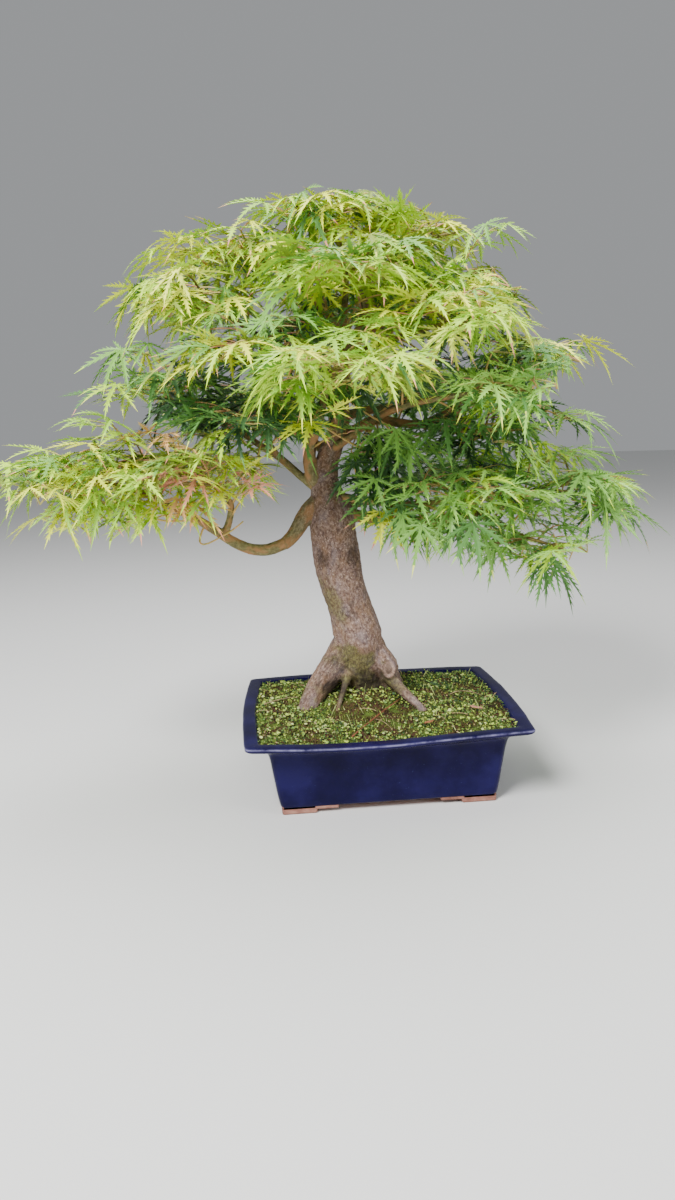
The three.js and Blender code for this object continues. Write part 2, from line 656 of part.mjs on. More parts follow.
// A mass is its stem, its twigs and as many leaves as find room. What belongs to limbs and other
// masses stays clear, and a leaf also keeps off the mass's own wood and leaves.
function massSolid(name, { stem, twigs, random }, taken) {
  const others = taken.filter(({ owner }) => owner !== name);
  const own = [];
  const keep = (solid) => own.push({ owner: name, solid, box: solid.boundingBox() });
  const clearOf = (solid, rest) => {
    const box = solid.boundingBox();
    return rest.every((other) => !boxesMeet(box, other.box) || solid.minGap(other.solid, GAP) >= GAP);
  };
  const bare = (rings) => twigWithLeaves(rings, []);
  const shoots = [stem, ...twigs.filter((rings) => clearOf(bare(rings), others))];
  shoots.forEach((rings) => keep(bare(rings)));
  const bodies = shoots.map((rings, i) => {
    const leaves = [];
    const rest = () => own.filter((_, k) => k !== i);
    for (const hand of [0, -1, 1])
      for (let attempt = 0; attempt < LEAF_TRIES; attempt++) {
        const leaf = hangingLeaf(rings, hand, random);
        if (!inOwnSpace(leaf.palm, name)) continue;
        const whole = leafAlone(leaf);
        if (!clearOf(whole, others) || !clearOf(whole, rest())) continue;
        const blade = leafAlone(leaf, leaf.palm.clone().lerp(leaf.root, BLADE_ONLY));
        if (!clearOf(blade, [own[i]])) continue;
        leaves.push({ hand, leaf });
        keep(whole);
        break;
      }
    return twigWithLeaves(rings, leaves);
  });
  taken.push(...own);
  return mainBody(fuse(bodies));
}

function boxesMeet(a, b) {
  return [0, 1, 2].every((k) => a.min[k] - GAP <= b.max[k] && b.min[k] - GAP <= a.max[k]);
}

// The plant

const parts = [];

function addPart(name, solid, look) {
  parts.push({ name, solid, look });
}

const trunk = aboveGround(trunkBlank(0));
const trunkClear = trunkBlank(GAP);
addPart("pot", potSolid(), "glaze");
addPart("soil", soilSolid(), "soil");
addPart("moss_mound", mossSolid(trunkClear), "moss");
addPart("trunk", trunk, "bark");

const boughBlanks = boughSolids(0);
const boughClears = boughSolids(GAP);
const limbs = [{ owner: "trunk", solid: trunkBlank(0) }];
const placed = [trunkClear];
for (const name of Object.keys(BOUGHS)) {
  const solid = mainBody(placed.reduce((bough, other) => bough.subtract(other), boughBlanks[name]));
  placed.push(boughClears[name]);
  limbs.push({ owner: name, solid });
  addPart(name, solid, "young_bark");
}

const growths = Object.entries(MASSES).map(([name, mass]) => [name, growTwigs(mass)]);
const taken = limbs.concat(
  growths.map(([owner, { stem }]) => ({ owner, solid: twigWithLeaves(stem, []) })),
);
for (const item of taken) item.box = item.solid.boundingBox();
for (const [name, growth] of growths)
  addPart(`${name}_foliage`, massSolid(name, growth, taken), "foliage");

// The origin goes under the middle of the outline.
const outline = new THREE.Box3();
for (const { solid } of parts) {
  const { min, max } = solid.boundingBox();
  outline.union(new THREE.Box3(vec(min), vec(max)));
}
const middle = outline.getCenter(vec([0, 0, 0]));

const plant = new THREE.Group();
for (const { name, solid, look } of parts) {
  const [color, roughness, metalness] = COLOURS[look];
  const material = new THREE.MeshStandardMaterial({ color, roughness, metalness, flatShading: true });
  const body = settled(solid.translate([-middle.x, -middle.y, -outline.min.z]));
  const mesh = new THREE.Mesh(toGeometry(body), material);
  mesh.name = name;
  plant.add(mesh);
}

export default plant;
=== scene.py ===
"""The looks of a Japanese maple bonsai in a glazed pot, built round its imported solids.

Tables, rules and arrays are in millimetres from the centre of the pot, +Z up and front towards
-Y, as in the part's source. add_piece turns them into metres in the part's frame.
"""

import math

import bmesh
import bpy
import numpy as np
from mathutils import Matrix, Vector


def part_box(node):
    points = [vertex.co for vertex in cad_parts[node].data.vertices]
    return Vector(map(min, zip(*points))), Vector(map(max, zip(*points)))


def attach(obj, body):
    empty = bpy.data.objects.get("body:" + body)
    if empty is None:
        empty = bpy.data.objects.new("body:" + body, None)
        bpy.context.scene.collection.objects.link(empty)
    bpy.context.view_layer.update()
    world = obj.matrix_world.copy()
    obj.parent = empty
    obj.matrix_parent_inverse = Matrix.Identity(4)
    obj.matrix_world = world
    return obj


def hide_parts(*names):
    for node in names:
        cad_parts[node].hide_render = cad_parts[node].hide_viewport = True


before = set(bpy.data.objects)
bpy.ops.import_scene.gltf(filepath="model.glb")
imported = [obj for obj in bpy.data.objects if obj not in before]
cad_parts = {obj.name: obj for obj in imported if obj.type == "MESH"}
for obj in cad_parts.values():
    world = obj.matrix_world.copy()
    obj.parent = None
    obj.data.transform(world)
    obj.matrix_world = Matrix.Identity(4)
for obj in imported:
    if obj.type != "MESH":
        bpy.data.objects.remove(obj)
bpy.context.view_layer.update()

MM = 0.001
POT_LOW, POT_HIGH = (np.array(corner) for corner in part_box("pot"))
POT_CENTRE = (POT_LOW + POT_HIGH) / 2 * [1, 1, 0]
UP = np.array([0.0, 0.0, 1.0])

# The camera, fitted to the pot's corners and feet in the photograph of 675 by 1200 pixels
CAMERA_AT = [-104.2, -926.5, 397.0]
CAMERA_RIGHT = [0.9964, -0.0758, -0.0385]
CAMERA_UP = [0.0527, 0.1961, 0.9792]
CAMERA_FORWARD = [0.0666, 0.9777, -0.1994]
SENSOR_MM = 36
FOCAL_PIXELS = 862
PHOTO_HEIGHT = 1200

# Pot: its size, how far its sides and ends swell, and how far the front of its rim has sunk
POT_LENGTH = 294
POT_WIDTH = 241
SIDE_BOW = 8
END_BOW = 5
KILN_SAG = 3.5
SAG_AT_X = -50
SAG_SPREAD = 95
STRAIGHT_BELOW_Z = 70
RIM_BLEND = 10
BASE_INSET = [32.5, 31.5]
# Height, how far it lies inside the rim's edge along x and y, and the radius of the corners
POT_PROFILE = [
    [8, 33.5, 32.5, 5], [9, 32.3, 31.3, 6], [20, 30, 29, 7], [45, 26.8, 25.8, 7], [70, 23.5, 22.5, 7],
    [77, 19, 18, 8], [81.5, 8, 8, 9], [83.5, 0.8, 0.8, 7], [87.5, 0, 0, 6], [89, 2, 2, 6],
    [89, 13, 13, 4], [87.8, 14.5, 14.5, 4], [80, 20, 20, 6], [70, 31, 30, 8], [20, 38.5, 37.5, 8],
    [17, 41, 40, 8],
]
# Feet: the lengths of the legs along x and y and their width, of the pad and of the step on it
FOOT_PAD = [37, 31, 17]
FOOT_STEP = [60, 48, 15]
FOOT_HEIGHT = 8
FOOT_HIDDEN = 5
FOOT_INSET = 1
FOOT_ROUNDING = 2.2
# A painted highlight, a pale line along the outer upper edge of the lip: its height, the width of its
# band, and how far inside the rim's edge it may lie
LIP_Z = 87.4
LIP_BAND = 0.7
LIP_INSET = 3
DRAIN_RADIUS = 11
DRAIN_AT_X = 58
DRAIN_Z = [-20.0, 12.0, 40.0]
DRAIN_SIDES = 32
BASE_STEP = 2
# The thrown clay's unevenness: size of its waves, how far they reach, and where they set in
UNEVEN_SIZE = 34
UNEVEN_BY = [0.5, 0.5, 0.25]
UNEVEN_FROM_Z = [10, 20]

# Soil and moss. The mound's outline is its height at shares of its radius.
RIM_INSET = 14
SOIL_EDGE_Z = 84.5
GROUND_Z = 88
MOUND_HEIGHT = 17
MOUND_RADIUS = 62
MOUND_CENTRE = [-18, 14]
MOUND_STRETCH = [1.15, 0.95]
MOUND_SHARES = [0, 0.35, 0.6, 0.85, 1.1]
MOUND_OUTLINE = [1, 0.9, 0.55, 0.15, 0]
EDGE_SLOPE = 40
# Size and height of the moss's cushions and of the lumps on them
CUSHION_SIZE = 15
CUSHION_HEIGHT = 3.2
CUSHIONS_FROM_EDGE = [-1, 7]
LUMPS_SIZE = 5
LUMPS_HEIGHT = 0.9
GROUND_CELL = 1.5
UNDER_INSET = 33
UNDER_Z = 66
RIM_Z = 89

# Stations of the trunk, the roots and the boughs: x, y, z and radius
TRUNK = [
    [-12, 20, 80, 20], [-12, 18, 110, 22], [-18, 13, 138, 26], [-19.5, 10, 164, 26.5],
    [-29.5, 10, 205, 24], [-38, 10, 245, 25.2], [-42, 10, 285, 25], [-43.5, 10, 306, 23],
    [-47, 11, 322, 18.5], [-48, 12, 340, 14.6], [-45, 11, 360, 12.6], [-38, 9, 378, 11.6],
    [-32, 8, 394, 11], [-30, 8, 424, 10.4], [-25, 8, 458, 9.4], [-12, 8, 480, 8.2], [0, 7, 503, 7],
    [-2, 4, 528, 5.6], [-12, 1, 550, 4.4], [-20, -1, 568, 3.6],
]
ROOTS = [
    [
        [-20, 10, 176, 19], [-36, 8, 146, 19], [-56, 4, 121, 15.5], [-71, -2, 103, 12.5],
        [-83, -7, 80, 11],
    ],
    [
        [-21, 11, 188, 17], [-8, 13, 152, 19], [0, 15, 132, 18.5], [9, 18, 114, 16],
        [20, 23, 97, 13], [30, 28, 80, 11],
    ],
    [
        [-17, 12, 166, 18], [-24, 36, 124, 14], [-34, 54, 102, 11], [-44, 68, 80, 9],
    ],
    [
        [-12, 14, 164, 18], [12, 42, 120, 13], [24, 58, 100, 10], [36, 70, 80, 8],
    ],
    [
        [-2, 10, 138, 11], [22, -6, 108, 6.5], [38, -26, 94, 5], [50, -41, 82, 4.5],
    ],
    [
        [-26, 8, 142, 10], [-38, -12, 112, 3.4], [-45, -22, 96, 2.6], [-50, -32, 80, 2.4],
    ],
    [
        [-2, 10, 150, 12], [7, 4, 137, 13], [13, 1, 128, 12.5], [18, 0, 122, 9.5],
    ],
]
BOUGHS = {
    "front_mid_bough": [
        [-50, 10, 328, 8], [-62, 6, 344, 7.6], [-65, 3, 362, 7], [-62, -4, 379, 6],
        [-56, -24, 398, 5], [-51, -56, 420, 4], [-48, -90, 440, 3.2],
    ],
    "left_low_elbow": [
        [-50, 9, 320, 10], [-66, 6, 309, 9.6], [-76, 4, 296, 9.2], [-84, 2, 284, 8],
        [-94, 0, 274, 7],
    ],
    "left_low_arm": [
        [-94, 0, 274, 7], [-114, -2, 268, 6.4], [-133, -4, 270, 6], [-151, -6, 279, 5.6],
        [-167, -8, 291, 5.2], [-192, -10, 308, 4.4], [-222, -11, 325, 3.7], [-252, -10, 340, 3],
    ],
    "left_low_fork": [
        [-160, -6, 285, 4.4], [-153, -10, 302, 3.8], [-150, -14, 318, 3.4], [-156, -18, 332, 3],
    ],
    "left_mid_bough": [
        [-58, 9, 330, 5], [-68, 10, 338, 4.6], [-82, 14, 351, 4.2], [-96, 16, 364, 4],
        [-115, 18, 377, 3.7], [-142, 18, 398, 3.3], [-168, 17, 422, 3],
    ],
    "left_inner_bough": [
        [-98, 15, 366, 3.4], [-108, -8, 382, 3], [-114, -30, 394, 2.6],
    ],
    "left_upper_bough": [
        [-27, 8, 440, 6], [-49, 7, 454, 5], [-72, 4, 462, 4.4], [-100, -1, 480, 3.8],
        [-130, -7, 502, 3],
    ],
    "left_shoulder_bough": [
        [-14, 8, 478, 5.4], [-36, 12, 508, 4.6], [-66, 14, 538, 3.8], [-94, 12, 560, 3],
    ],
    "left_front_bough": [
        [-32, 6, 404, 5], [-48, -12, 428, 4], [-68, -32, 452, 3.4], [-84, -44, 466, 2.8],
    ],
    "right_shoulder_bough": [
        [-2, 7, 500, 5], [20, 9, 526, 4.2], [38, 8, 554, 3.6], [48, 7, 570, 3],
    ],
    "right_upper_bough": [
        [-4, 7, 490, 5.4], [26, 8, 500, 4.6], [62, 6, 510, 3.8], [104, 3, 522, 3],
    ],
    "right_mid_bough": [
        [-34, 8, 382, 6.4], [-14, 8, 391, 5.8], [8, 7, 400, 5.4], [34, 8, 396, 5],
        [58, 10, 394, 4.6], [86, 13, 406, 4.2], [118, 15, 430, 3.7], [150, 15, 450, 3.2],
    ],
    "right_inner_bough": [
        [56, 6, 393, 3.6], [74, -6, 388, 3.2], [92, -16, 386, 2.8],
    ],
    "right_front_bough": [
        [-42, 6, 370, 4.6], [-24, -12, 382, 4], [4, -28, 402, 3.6], [38, -48, 414, 3.2],
        [76, -68, 420, 2.9], [104, -78, 424, 2.6],
    ],
    "right_low_bough": [
        [-34, 9, 306, 7.6], [-8, 7, 297, 6.6], [30, 5, 291, 5.8], [72, 3, 290, 5.2],
        [120, 4, 298, 4.6], [166, 7, 312, 3.9], [196, 9, 322, 3.3],
    ],
    "right_low_inner_bough": [
        [-38, 4, 322, 4.8], [-14, -14, 318, 4], [16, -32, 314, 3.4], [44, -44, 314, 2.8],
    ],
    "right_hang_bough": [
        [116, 2, 296, 3.6], [134, -10, 288, 3], [152, -24, 276, 2.5],
    ],
    "front_upper_bough": [
        [-26, 6, 446, 5], [-28, -18, 474, 4.2], [-27, -46, 502, 3.6], [-26, -68, 522, 3],
    ],
    "right_front_upper_bough": [
        [-22, 6, 462, 5], [0, -22, 472, 4], [24, -54, 478, 3.4], [44, -80, 482, 2.8],
    ],
    "back_left_bough": [
        [-42, 12, 366, 6], [-64, 38, 382, 5], [-88, 66, 396, 4], [-106, 86, 404, 3.2],
    ],
    "back_right_bough": [
        [-32, 12, 404, 6], [-2, 38, 410, 5], [34, 70, 416, 4], [60, 92, 420, 3.2],
    ],
    "back_upper_bough": [
        [-24, 12, 462, 5.4], [-20, 38, 486, 4.2], [-15, 66, 502, 3.2],
    ],
    "back_low_bough": [
        [-36, 16, 310, 6], [4, 42, 312, 5], [52, 74, 318, 4], [90, 92, 325, 3.2],
    ],
    "pruned_stub": [
        [-61, 2, 380, 4.4], [-74, 1, 389, 4], [-88, 0, 398, 3.6],
    ],
}
# What carries each mass, its centre, its half sizes and the seed of its twigs
MASSES = {
    "left_tip": ["left_low_arm", [-312, -10, 340], [62, 58, 28], 11],
    "left_low": ["left_low_fork", [-186, -36, 344], [60, 62, 32], 12],
    "left_mid": ["left_mid_bough", [-212, 18, 430], [52, 66, 34], 13],
    "left_inner": ["left_inner_bough", [-124, -62, 402], [46, 42, 26], 32],
    "left_upper": ["left_upper_bough", [-178, -12, 518], [46, 68, 30], 14],
    "left_shoulder": ["left_shoulder_bough", [-124, 14, 572], [42, 60, 22], 15],
    "left_front": ["left_front_bough", [-116, -84, 470], [50, 44, 32], 16],
    "apex": ["trunk", [-32, -4, 608], [52, 56, 22], 17],
    "right_shoulder": ["right_shoulder_bough", [76, 8, 588], [50, 58, 24], 18],
    "right_upper": ["right_upper_bough", [144, 2, 530], [44, 64, 32], 19],
    "right_mid": ["right_mid_bough", [194, 16, 456], [46, 68, 34], 20],
    "right_inner": ["right_inner_bough", [132, -24, 384], [50, 46, 24], 33],
    "right_front": ["right_front_bough", [140, -96, 418], [50, 44, 32], 21],
    "right_low": ["right_low_bough", [238, 12, 324], [58, 68, 32], 22],
    "right_low_inner": ["right_low_inner_bough", [92, -62, 322], [56, 50, 34], 23],
    "right_hang": ["right_hang_bough", [180, -38, 258], [42, 42, 28], 24],
    "front_mid": ["front_mid_bough", [-42, -134, 446], [60, 40, 34], 25],
    "front_upper": ["front_upper_bough", [-28, -98, 536], [62, 44, 30], 26],
    "right_front_upper": ["right_front_upper_bough", [72, -112, 490], [46, 42, 32], 27],
    "back_left": ["back_left_bough", [-130, 112, 418], [58, 50, 34], 28],
    "back_right": ["back_right_bough", [94, 118, 430], [60, 50, 34], 29],
    "back_upper": ["back_upper_bough", [-10, 100, 520], [64, 48, 34], 30],
    "back_low": ["back_low_bough", [130, 108, 338], [56, 46, 30], 31],
}
FOLIAGE = [f"{name}_foliage" for name in MASSES]

# Twigs and leaves. A pair of numbers is a first value and how much chance can add to it.
TWIG_GAP = 0.3
STEM_OVERLAP = 3
SIDE_TWIGS = 4
GOLDEN_ANGLE = 2.399963
TWIG_SWING = [-0.3, 0.6]
TWIG_REACH = [0.86, 0.24]
TWIG_LIFT = [0.096, 0.16]
TWIG_BEND_AT = 0.55
TWIGS_HEIGHT = 1.7
STEM_KNEE = 0.4
STEM_REACH = 0.7
TWIGS_START = [0.4, 0.5]
FINE_TWIGS = 10
FLAT_FINE_TWIGS = 17
FINE_REACH = [0.5, 0.5]
FINE_HEIGHTS = [0.95, -1.6]
FINE_FROM = [0.35, 0.5, 0.65, 0.8]
LEAST_FINE_TWIG = 12
LEAF_KINDS = 12
LEAF_PIECES = 3
LEAF_LENGTH = 50
LEAF_SIZE = [0.74, 0.36]
LEAF_FALL = [-0.35, 1.1]
SPRIG_FALL = [-0.3, 0.6]
LEAF_DROOP = [0.05, 0.35]
LEAF_HAND_TURN = 1.1
LEAF_SWING = [-0.9, 1.8]
LEAF_ROLL = [-0.5, 1]
STALK_LENGTH = 20
STALK_SHARE = [0.6, 0.8]
STALK_POINTS = 6
STALK_SIDES = 4
STALK_RADII = [0.75, 0.5]
STALK_RISE = 2
PALM_OVERLAP = 1.5
UNDER_PALM = 0.2
PALM_RISE = [8, -12]
# How far ahead and aside the side lobes end, in a leaf's lengths
LOBE_AHEAD = 0.4
LOBE_ASIDE = 0.62
LEAF_SPACING = 13.6
LEAF_TRIES = 6
LIMB_CLEARANCE = 4
# The pads that spread flat: their leaves are smaller and hang less
FLAT_PADS = ["left_tip", "left_low"]
FLAT_SIZE = 0.82
FLAT_FALL = [-0.4, 1.3]
FLAT_DROOP = [-0.02, 0.26]
FLAT_RISE = [18, -10]


def unit(vectors):
    return vectors / np.linalg.norm(vectors, axis=-1, keepdims=True)


def away(points, place, size):
    """How far points lie from a place, as a share of a size that may differ along the axes."""
    return np.linalg.norm((points - np.array(place, float)) / size, axis=-1)


def direction(azimuth, height):
    """A unit vector from its azimuth and its height."""
    level = math.sqrt(1 - height * height)
    return np.array([level * math.cos(azimuth), level * math.sin(azimuth), height])


def random_stream(seed):
    """A repeatable stream of numbers from 0 to 1, the same as in the part's source."""
    state = seed * 7919 + 17
    while True:
        state = state * 48271 % 2147483647
        yield state / 2147483647


def vary(pair, chance):
    """The pair's first number and a random share of its second."""
    return pair[0] + pair[1] * next(chance)


def ramp(values, start, end):
    """0 at start, 1 at end, and smooth between."""
    t = np.clip((values - start) / (end - start), 0, 1)
    return t * t * (3 - 2 * t)


def noise(places, seed=0):
    """Smooth value noise from -1 to 1 at places, with one random value for each unit cell's corner."""
    cell = np.floor(places).astype(np.int64)
    part = places - cell
    part = part * part * (3 - 2 * part)
    total = np.zeros(len(places))
    for corner in np.ndindex(2, 2, 2):
        at = cell + corner
        mixed = at[:, 0] * 73856093 ^ at[:, 1] * 19349663 ^ at[:, 2] * 83492791 ^ (seed + 1) * 40503
        mixed = (mixed ^ mixed >> 13) * 1274126177 & 0x7FFFFFFF
        value = ((mixed ^ mixed >> 15) & 0xFFFF) / 0x7FFF - 1
        total += value * np.prod(np.where(corner, part, 1 - part), axis=1)
    return total


def fractal(places, octaves, seed=0):
    """Noise with finer and fainter noise over it."""
    return sum(noise(places * 2**k, seed + k) / 2**k for k in range(octaves))


# Meshes from arrays

TUBE_POINT = 0.6


def join(meshes):
    """One (points, faces, looks) from several: looks are the material numbers of the faces."""
    first = np.cumsum([0] + [len(points) for points, _, _ in meshes[:-1]])
    return (
        np.vstack([points for points, _, _ in meshes]),
        np.vstack([faces + start for (_, faces, _), start in zip(meshes, first)]),
        np.concatenate([looks for _, _, looks in meshes]),
    )


def with_look(mesh, look=0):
    """Points and faces with one material number for all faces."""
    points, faces = mesh
    return points, faces, np.full(len(faces), look)


def frames_along(line):
    """Unit vectors along a line of points, to its left and on its top, carried on without twist."""
    along = unit(np.gradient(line, axis=0))
    level = UP if abs(along[0, 2]) < 0.9 else np.array([0.0, 1.0, 0.0])
    left = np.cross(level, along)
    left[0] = unit(left[0])
    for k in range(1, len(line)):
        left[k] = unit(left[k - 1] - along[k] * (left[k - 1] @ along[k]))
    return along, left, np.cross(along, left)


def walled(sides, count):
    """Triangles over count rings of that many points, and fans to the two end points after them."""
    k = np.arange(sides)
    after = (k + 1) % sides
    start = sides * np.arange(count - 1)[:, None]
    a, b, c, d = start + k, start + after, start + after + sides, start + k + sides
    last = sides * (count - 1)
    foot = np.full(sides, sides * count)
    return np.vstack([
        np.stack([a, b, c], -1).reshape(-1, 3),
        np.stack([a, c, d], -1).reshape(-1, 3),
        np.stack([after, k, foot], -1),
        np.stack([last + k, last + after, foot + 1], -1),
    ])


def tube(line, radii, sides):
    """Points and triangles of a closed tube with blunt pointed ends."""
    along, left, top = frames_along(line)
    angles = 2 * math.pi * np.arange(sides) / sides
    spokes = np.cos(angles)[:, None] * left[:, None] + np.sin(angles)[:, None] * top[:, None]
    rings = line[:, None] + np.asarray(radii)[:, None, None] * spokes
    ends = [line[0] - along[0] * radii[0] * TUBE_POINT, line[-1] + along[-1] * radii[-1] * TUBE_POINT]
    return np.vstack([rings.reshape(-1, 3), ends]), walled(sides, len(line))


def mesh_data(name, points, faces):
    data = bpy.data.meshes.new(name)
    data.from_pydata(points.tolist(), [], faces.tolist())
    return data


def linked(name, data):
    """A new object of that data in the scene."""
    thing = bpy.data.objects.new(name, data)
    bpy.context.scene.collection.objects.link(thing)
    return thing


def add_piece(name, mesh, materials, replaced, smooth=True, values=None):
    """A Blender object from (points, faces, looks), riding on the one body of the part."""
    points, faces, looks = mesh
    data = mesh_data(name, points * MM + POT_CENTRE, faces)
    for material in materials:
        data.materials.append(material)
    data.polygons.foreach_set("material_index", looks.astype(np.int32))
    data.polygons.foreach_set("use_smooth", np.full(len(faces), smooth))
    for key, column in (values or {}).items():
        kind, field = ("FLOAT_VECTOR", "vector") if column.ndim == 2 else ("FLOAT", "value")
        attribute = data.attributes.new(key, kind, "POINT")
        attribute.data.foreach_set(field, column.astype(np.float32).ravel())
    data.update()
    piece = linked(name, data)
    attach(piece, "root")
    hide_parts(*replaced)
    return piece


# Materials


def linear(code):
    """Linear red, green, blue and alpha of a colour written as six hex digits."""
    shares = [int(code[i : i + 2], 16) / 255 for i in (0, 2, 4)]
    return [s / 12.92 if s < 0.04045 else ((s + 0.055) / 1.055) ** 2.4 for s in shares] + [1.0]


class Look:
    """A material and short ways to add nodes to it."""

    def __init__(self, name, roughness, **sockets):
        self.material = bpy.data.materials.new(name)
        self.material.use_nodes = True
        self.nodes = self.material.node_tree.nodes
        self.links = self.material.node_tree.links
        self.shader = self.nodes["Principled BSDF"]
        self.shader.inputs["Roughness"].default_value = roughness
        for key, value in sockets.items():
            self.shader.inputs[key.replace("_", " ")].default_value = value

    def put(self, kind, inputs, **settings):
        """A node with its inputs set to values or linked to sockets, and its settings."""
        node = self.nodes.new(kind)
        for key, value in settings.items():
            setattr(node, key, value)
        for key, value in inputs.items():
            if isinstance(value, bpy.types.NodeSocket):
                self.links.new(value, node.inputs[key])
            else:
                node.inputs[key].default_value = value
        return node

    def value(self, name, output="Fac"):
        """What the mesh says of each point under that name."""
        return self.put("ShaderNodeAttribute", {}, attribute_name=name).outputs[output]

    def place(self):
        return self.nodes.new("ShaderNodeTexCoord").outputs["Object"]

    def grain(self, place, size, detail=5, roughness=0.6):
        """Noise from 0 to 1 with features of that size, which may differ along the three axes."""
        steps = (1 / np.broadcast_to(size, 3)).tolist()
        scaled = self.put("ShaderNodeVectorMath", {0: place, 1: steps}, operation="MULTIPLY")
        inputs = {
            "Vector": scaled.outputs[0], "Scale": 1.0, "Detail": detail, "Roughness": roughness,
        }
        return self.put("ShaderNodeTexNoise", inputs).outputs["Fac"]

    def band(self, value, start, end):
        """value stretched so that start gives 0 and end gives 1."""
        inputs = {"Value": value, "From Min": start, "From Max": end}
        return self.put("ShaderNodeMapRange", inputs).outputs["Result"]

    def times(self, a, b):
        return self.put("ShaderNodeMath", {0: a, 1: b}, operation="MULTIPLY").outputs[0]

    def plus(self, a, b):
        return self.put("ShaderNodeMath", {0: a, 1: b}, operation="ADD").outputs[0]

    def shades(self, value, stops):
        """A colour from a value, by stops of position and hex colour."""
        node = self.put("ShaderNodeValToRGB", {"Fac": value})
        elements = node.color_ramp.elements
        while len(elements) < len(stops):
            elements.new(0.5)
        for element, (position, code) in zip(elements, stops):
            element.position = position
            element.color = linear(code)
        return node.outputs["Color"]

    def mix(self, share, a, b):
        """Colour a, or b where share is 1. Each is a socket or a hex colour."""
        a, b = (linear(c) if isinstance(c, str) else c for c in (a, b))
        # The node's inputs 6 and 7 and its output 2 are the ones for colours
        return self.put("ShaderNodeMix", {0: share, 6: a, 7: b}, data_type="RGBA").outputs[2]

    def colour(self, colour):
        socket = self.shader.inputs["Base Color"]
        if isinstance(colour, str):
            socket.default_value = linear(colour)
        else:
            self.links.new(colour, socket)

    def bump(self, height, distance, strength=1.0):
        """Relief from a height of 0 to 1, that deep in metres."""
        inputs = {"Height": height, "Distance": distance, "Strength": strength}
        node = self.put("ShaderNodeBump", inputs)
        self.links.new(node.outputs["Normal"], self.shader.inputs["Normal"])


# Limbs

PATH_STEPS = 8
LIMBS_APART = 1000
ROWS_AT_A_TIME = 3000


def smooth_path(stations, per_span):
    """Points and radii on the centripetal curve through stations, and its direction at the end."""
    table = np.array(stations, float)
    points = table[:, :3]
    held = np.vstack([2 * points[0] - points[1], points, 2 * points[-1] - points[-2]])
    places = np.linspace(0, len(points) - 1, (len(points) - 1) * per_span + 1)
    span = np.minimum(places.astype(int), len(points) - 2)
    t = (places - span)[:, None]
    p = [held[span + k] for k in range(4)]
    d = [np.linalg.norm(p[k + 1] - p[k], axis=1, keepdims=True) ** 0.5 for k in range(3)]
    out = ((p[1] - p[0]) / d[0] - (p[2] - p[0]) / (d[0] + d[1])) * d[1] + p[2] - p[1]
    back = (-(p[3] - p[1]) / (d[1] + d[2]) + (p[3] - p[2]) / d[2]) * d[1] + p[2] - p[1]
    square = -3 * p[1] + 3 * p[2] - 2 * out - back
    cube = 2 * p[1] - 2 * p[2] + out + back
    line = p[1] + out * t + square * t**2 + cube * t**3
    return line, np.interp(places, range(len(table)), table[:, 3]), unit(back[-1])


LIMBS = {"trunk": TRUNK, **BOUGHS}
LIMB_PATHS = {name: smooth_path(stations, PATH_STEPS) for name, stations in LIMBS.items()}
ROOT_PATHS = [smooth_path(stations, PATH_STEPS) for stations in ROOTS]
ALL_PATHS = [*LIMB_PATHS.values(), *ROOT_PATHS]


def limb_samples():
    """A row for every centre point of the limbs and roots: its place, the vectors along, to the left
    and to the top, its radius, and its distance along the limb, apart from those of the others."""
    columns = []
    for number, (line, radii, _) in enumerate(ALL_PATHS):
        along, left, top = frames_along(line)
        steps = np.linalg.norm(np.diff(line, axis=0), axis=1)
        distance = np.concatenate([[0], np.cumsum(steps)]) + LIMBS_APART * number
        columns.append(np.column_stack([line, along, left, top, radii, distance]))
    return np.vstack(columns)


SAMPLES = limb_samples()
# The columns of SAMPLES where each of these starts
ALONG, LEFT, TOP, RADIUS, DISTANCE = 3, 6, 9, 12, 13


def nearest_sample(points):
    """For each point, the row of SAMPLES whose surface is nearest, and how far off it is."""
    rows, gaps = [], []
    for start in range(0, len(points), ROWS_AT_A_TIME):
        part = points[start : start + ROWS_AT_A_TIME]
        reach = np.linalg.norm(part[:, None] - SAMPLES[None, :, :3], axis=2) - SAMPLES[:, RADIUS]
        row = reach.argmin(axis=1)
        rows.append(row)
        gaps.append(reach[np.arange(len(part)), row])
    return np.concatenate(rows), np.concatenate(gaps)


# Wood: one skin over trunk, roots and boughs

SKIN_VOXEL = 1.47
LIMB_SIDES = 24
# Radius of the wood that counts as thin, and of the wood that is thick enough for full relief
THIN_WOOD = 3
THICK_WOOD = 21
# Rounds of smoothing on all the wood, and on the thick wood
SMOOTHING = [0.5, -0.52] * 4
THICK_SMOOTHING = [0.6] * 10
# The three layers of the bark: how high they stand and the size of their features
LUMP_HEIGHT = 1.5
LUMP_SIZE = [17, 17, 30]
FURROW_DEPTH = 0.5
FURROW_SIZE = [4.5, 4.5, 11]
SCALE_HEIGHT = [0.12, 0.42]
SCALE_SIZE = [3.2, 3.2, 4.6]
# The healed scar at the front of a cut root, as x and z, with its rim and its dish
SCAR_AT = [12.5, 128.5]
SCAR_SIZE = [6.2, 9.8]
SCAR_RIM = 1.8
SCAR_RIM_AT = 1.05
SCAR_RIM_WIDTH = 0.2
SCAR_DISH = 1.2
HOLLOW_AT = [-56, -7, 366]
HOLLOW_SIZE = [4, 9, 17]
HOLLOW_DEPTH = 5
